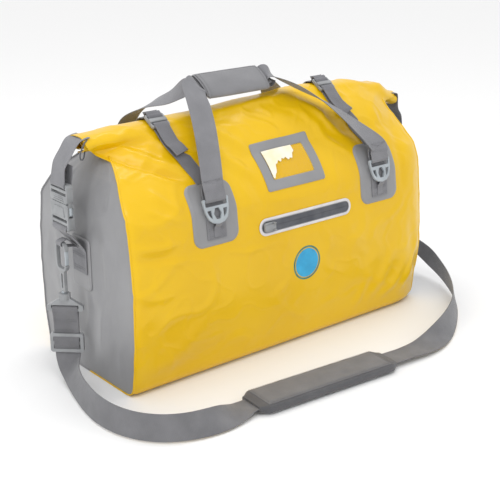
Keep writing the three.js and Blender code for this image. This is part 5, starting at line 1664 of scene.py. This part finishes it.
for hand_name, hand in HANDS:
    facing = hand * X_AXIS
    centre = Vector((hand * (HALF_LENGTH + HOOK_OUT), 0, LOOP_Z))

    def from_end(out, y, z):
        return Vector((hand * (HALF_LENGTH + out), y, z))

    ring = 0.0050
    loop = [
        from_end(LOOP_START[hand] - 0.002, 0, LOOP_Z - 0.0115),
        from_end(LOOP_START[hand] + 0.001, 0, LOOP_Z - 0.0085),
        from_end(HOOK_OUT - 0.009, 0, LOOP_Z - 0.0062), from_end(HOOK_OUT - 0.002, 0, LOOP_Z - ring),
        centre + facing * 0.0042 - Z_AXIS * 0.0028, centre + facing * ring,
        centre + facing * 0.0042 + Z_AXIS * 0.0028,
        from_end(HOOK_OUT - 0.002, 0, LOOP_Z + ring), from_end(HOOK_OUT - 0.0085, 0, LOOP_Z + 0.0042),
        from_end(LOOP_START[hand] + 0.002, 0, LOOP_Z - 0.0045),
        from_end(LOOP_START[hand] - 0.001, 0, LOOP_Z - 0.0085),
    ]
    hook_loop, _ = webbing(
        f"hook_loop_webbing_{hand_name}", loop, [Y_AXIS] * len(loop), 0.014, 0.0011, handle_webbing, None, 70,
    )
    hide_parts(f"hook_loop_{hand_name}")
    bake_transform(hook_loop)
    moulded(f"snap_hook_{hand_name}", 0.0016, buckle_nylon)
    moulded(f"hook_gate_{hand_name}", 0.0006, ring_nylon)
    moulded(f"hook_head_{hand_name}", 0.0014, buckle_nylon)

    # The rivet's round head on the swivel, and the strap folded through the head's slot
    turn = HEAD_TURN[hand]
    head_wide = turned(Y_AXIS, turn)
    head_face = turned(facing, turn)
    bpy.ops.object.select_all(action="DESELECT")
    bpy.ops.mesh.primitive_uv_sphere_add(segments=32, ring_count=16, radius=0.0042)
    rivet = bpy.context.object
    rivet.name = f"swivel_rivet_{hand_name}"
    rivet.data.transform(Matrix.Translation((hand * STRAP_X, 0, 0.1395)) @ Matrix.Diagonal((1, 1, 0.7, 1)))
    rivet.data.materials.append(ring_nylon)
    bpy.ops.object.shade_smooth()
    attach(rivet, "bag")
    fold = [
        (0.0009, 0.080), (0.0010, 0.092), (0.0022, 0.101), (0.0040, 0.1075), (0.0047, 0.1115),
        (0.0042, 0.1155), (0.0018, 0.1172),
        (-0.0018, 0.1172), (-0.0042, 0.1155), (-0.0047, 0.1115), (-0.0040, 0.1070), (-0.0024, 0.100),
        (-0.0016, 0.090),
    ]
    if hand < 0:
        fold += [(-0.0014, 0.080), (-0.0016, 0.068), (-0.0016, 0.056)]
    else:
        fold += [(-0.0014, 0.074), (-0.0012, 0.070)]
    route = [Vector((hand * STRAP_X, 0, z)) + head_face * out for out, z in fold]
    strap_fold, _ = webbing(
        f"strap_fold_{hand_name}", route, [head_wide] * len(route), WEB_WIDE, WEB_THICK, strap_webbing,
        "bag" if hand > 0 else None, 90, cup=0.0002,
    )
    if hand < 0:
        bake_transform(strap_fold)
    strap_pieces.append(strap_fold)
    rows = [
        [
            (
                Vector((hand * STRAP_X, 0, z)) + head_face * 0.0021 + head_wide * (0.033 * (k / 10 - 0.5)),
                head_face
            )
            for k in range(11)
        ]
        for z in (0.0935, 0.0965)
    ]
    strap_pieces.append(stitching(f"strap_end_stitching_{hand_name}", rows, "bag", pitch=0.0034, long=0.0026))

adjuster = moulded("strap_adjuster", 0.0012, buckle_nylon)
glide_face = turned(-X_AXIS, HEAD_TURN_LEFT)
glide_wide = turned(Y_AXIS, HEAD_TURN_LEFT)
bar_route = [Vector((-STRAP_X, 0, 0.059 + z)) + glide_face * out for out, z in (
    (0.0010, 0.0125), (0.0030, 0.0088), (0.0046, 0.0045), (0.0050, 0.0), (0.0046, -0.0045),
    (0.0030, -0.0088), (0.0010, -0.0125),
)]
bar_ply, _ = webbing(
    "adjuster_ply", bar_route, [glide_wide] * 7, WEB_WIDE, WEB_THICK, strap_webbing, "strap_adjuster", 30,
    cup=0.0002,
)
strap_pieces += [adjuster, bar_ply, pad, pad_panel, pad_stitches]

# ---- Cord loop and seams --------------------------------------------------------------------
# A thin elastic cord tied in a loop through the left-hand end of the roll. Welded beads run round
# both end panels, where they are set into the walls and the bottom.

cord_cloth = woven("cord_cloth", rgb(70, 72, 76), rgb(96, 98, 102), 0.0008, 0.0008, 0.0001)
loop_points = [Vector(p) for p in (
    (-0.309, -0.0155, 0.3640), (-0.318, -0.0230, 0.3625), (-0.327, -0.0290, 0.3560),
    (-0.331, -0.0300, 0.3470),
    (-0.328, -0.0275, 0.3400), (-0.3205, -0.0215, 0.3400), (-0.3155, -0.0165, 0.3465),
    (-0.3125, -0.0120, 0.3540),
)]
loop_line = smooth_route(loop_points, 60)
tube_points, tube_faces, tube_uv = [], [], []
for k, spot in enumerate(loop_line):
    along = (loop_line[min(k + 1, 60)] - loop_line[max(k - 1, 0)]).normalized()
    one = along.cross(Vector((0.3, -0.8, 0.5))).normalized()
    two = along.cross(one)
    for j in range(10):
        turn = 2 * math.pi * j / 10
        tube_points.append(spot + (one * math.cos(turn) + two * math.sin(turn)) * 0.0011)
        tube_uv.append((0.0007 * j, 0.002 * k))
        if k < 60:
            a, b = k * 10 + j, k * 10 + (j + 1) % 10
            tube_faces.append((a, b, b + 10, a + 10))
tube_faces += [tuple(range(10)), tuple(range(600, 610))]
cord_loop = new_piece("cord_loop", tube_points, tube_faces, cord_cloth, "bag", tube_uv)

# ---- Size and end ---------------------------------------------------------------------------
# The lowest and highest corners of everything shown, the floor left out, are found.

low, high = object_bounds()
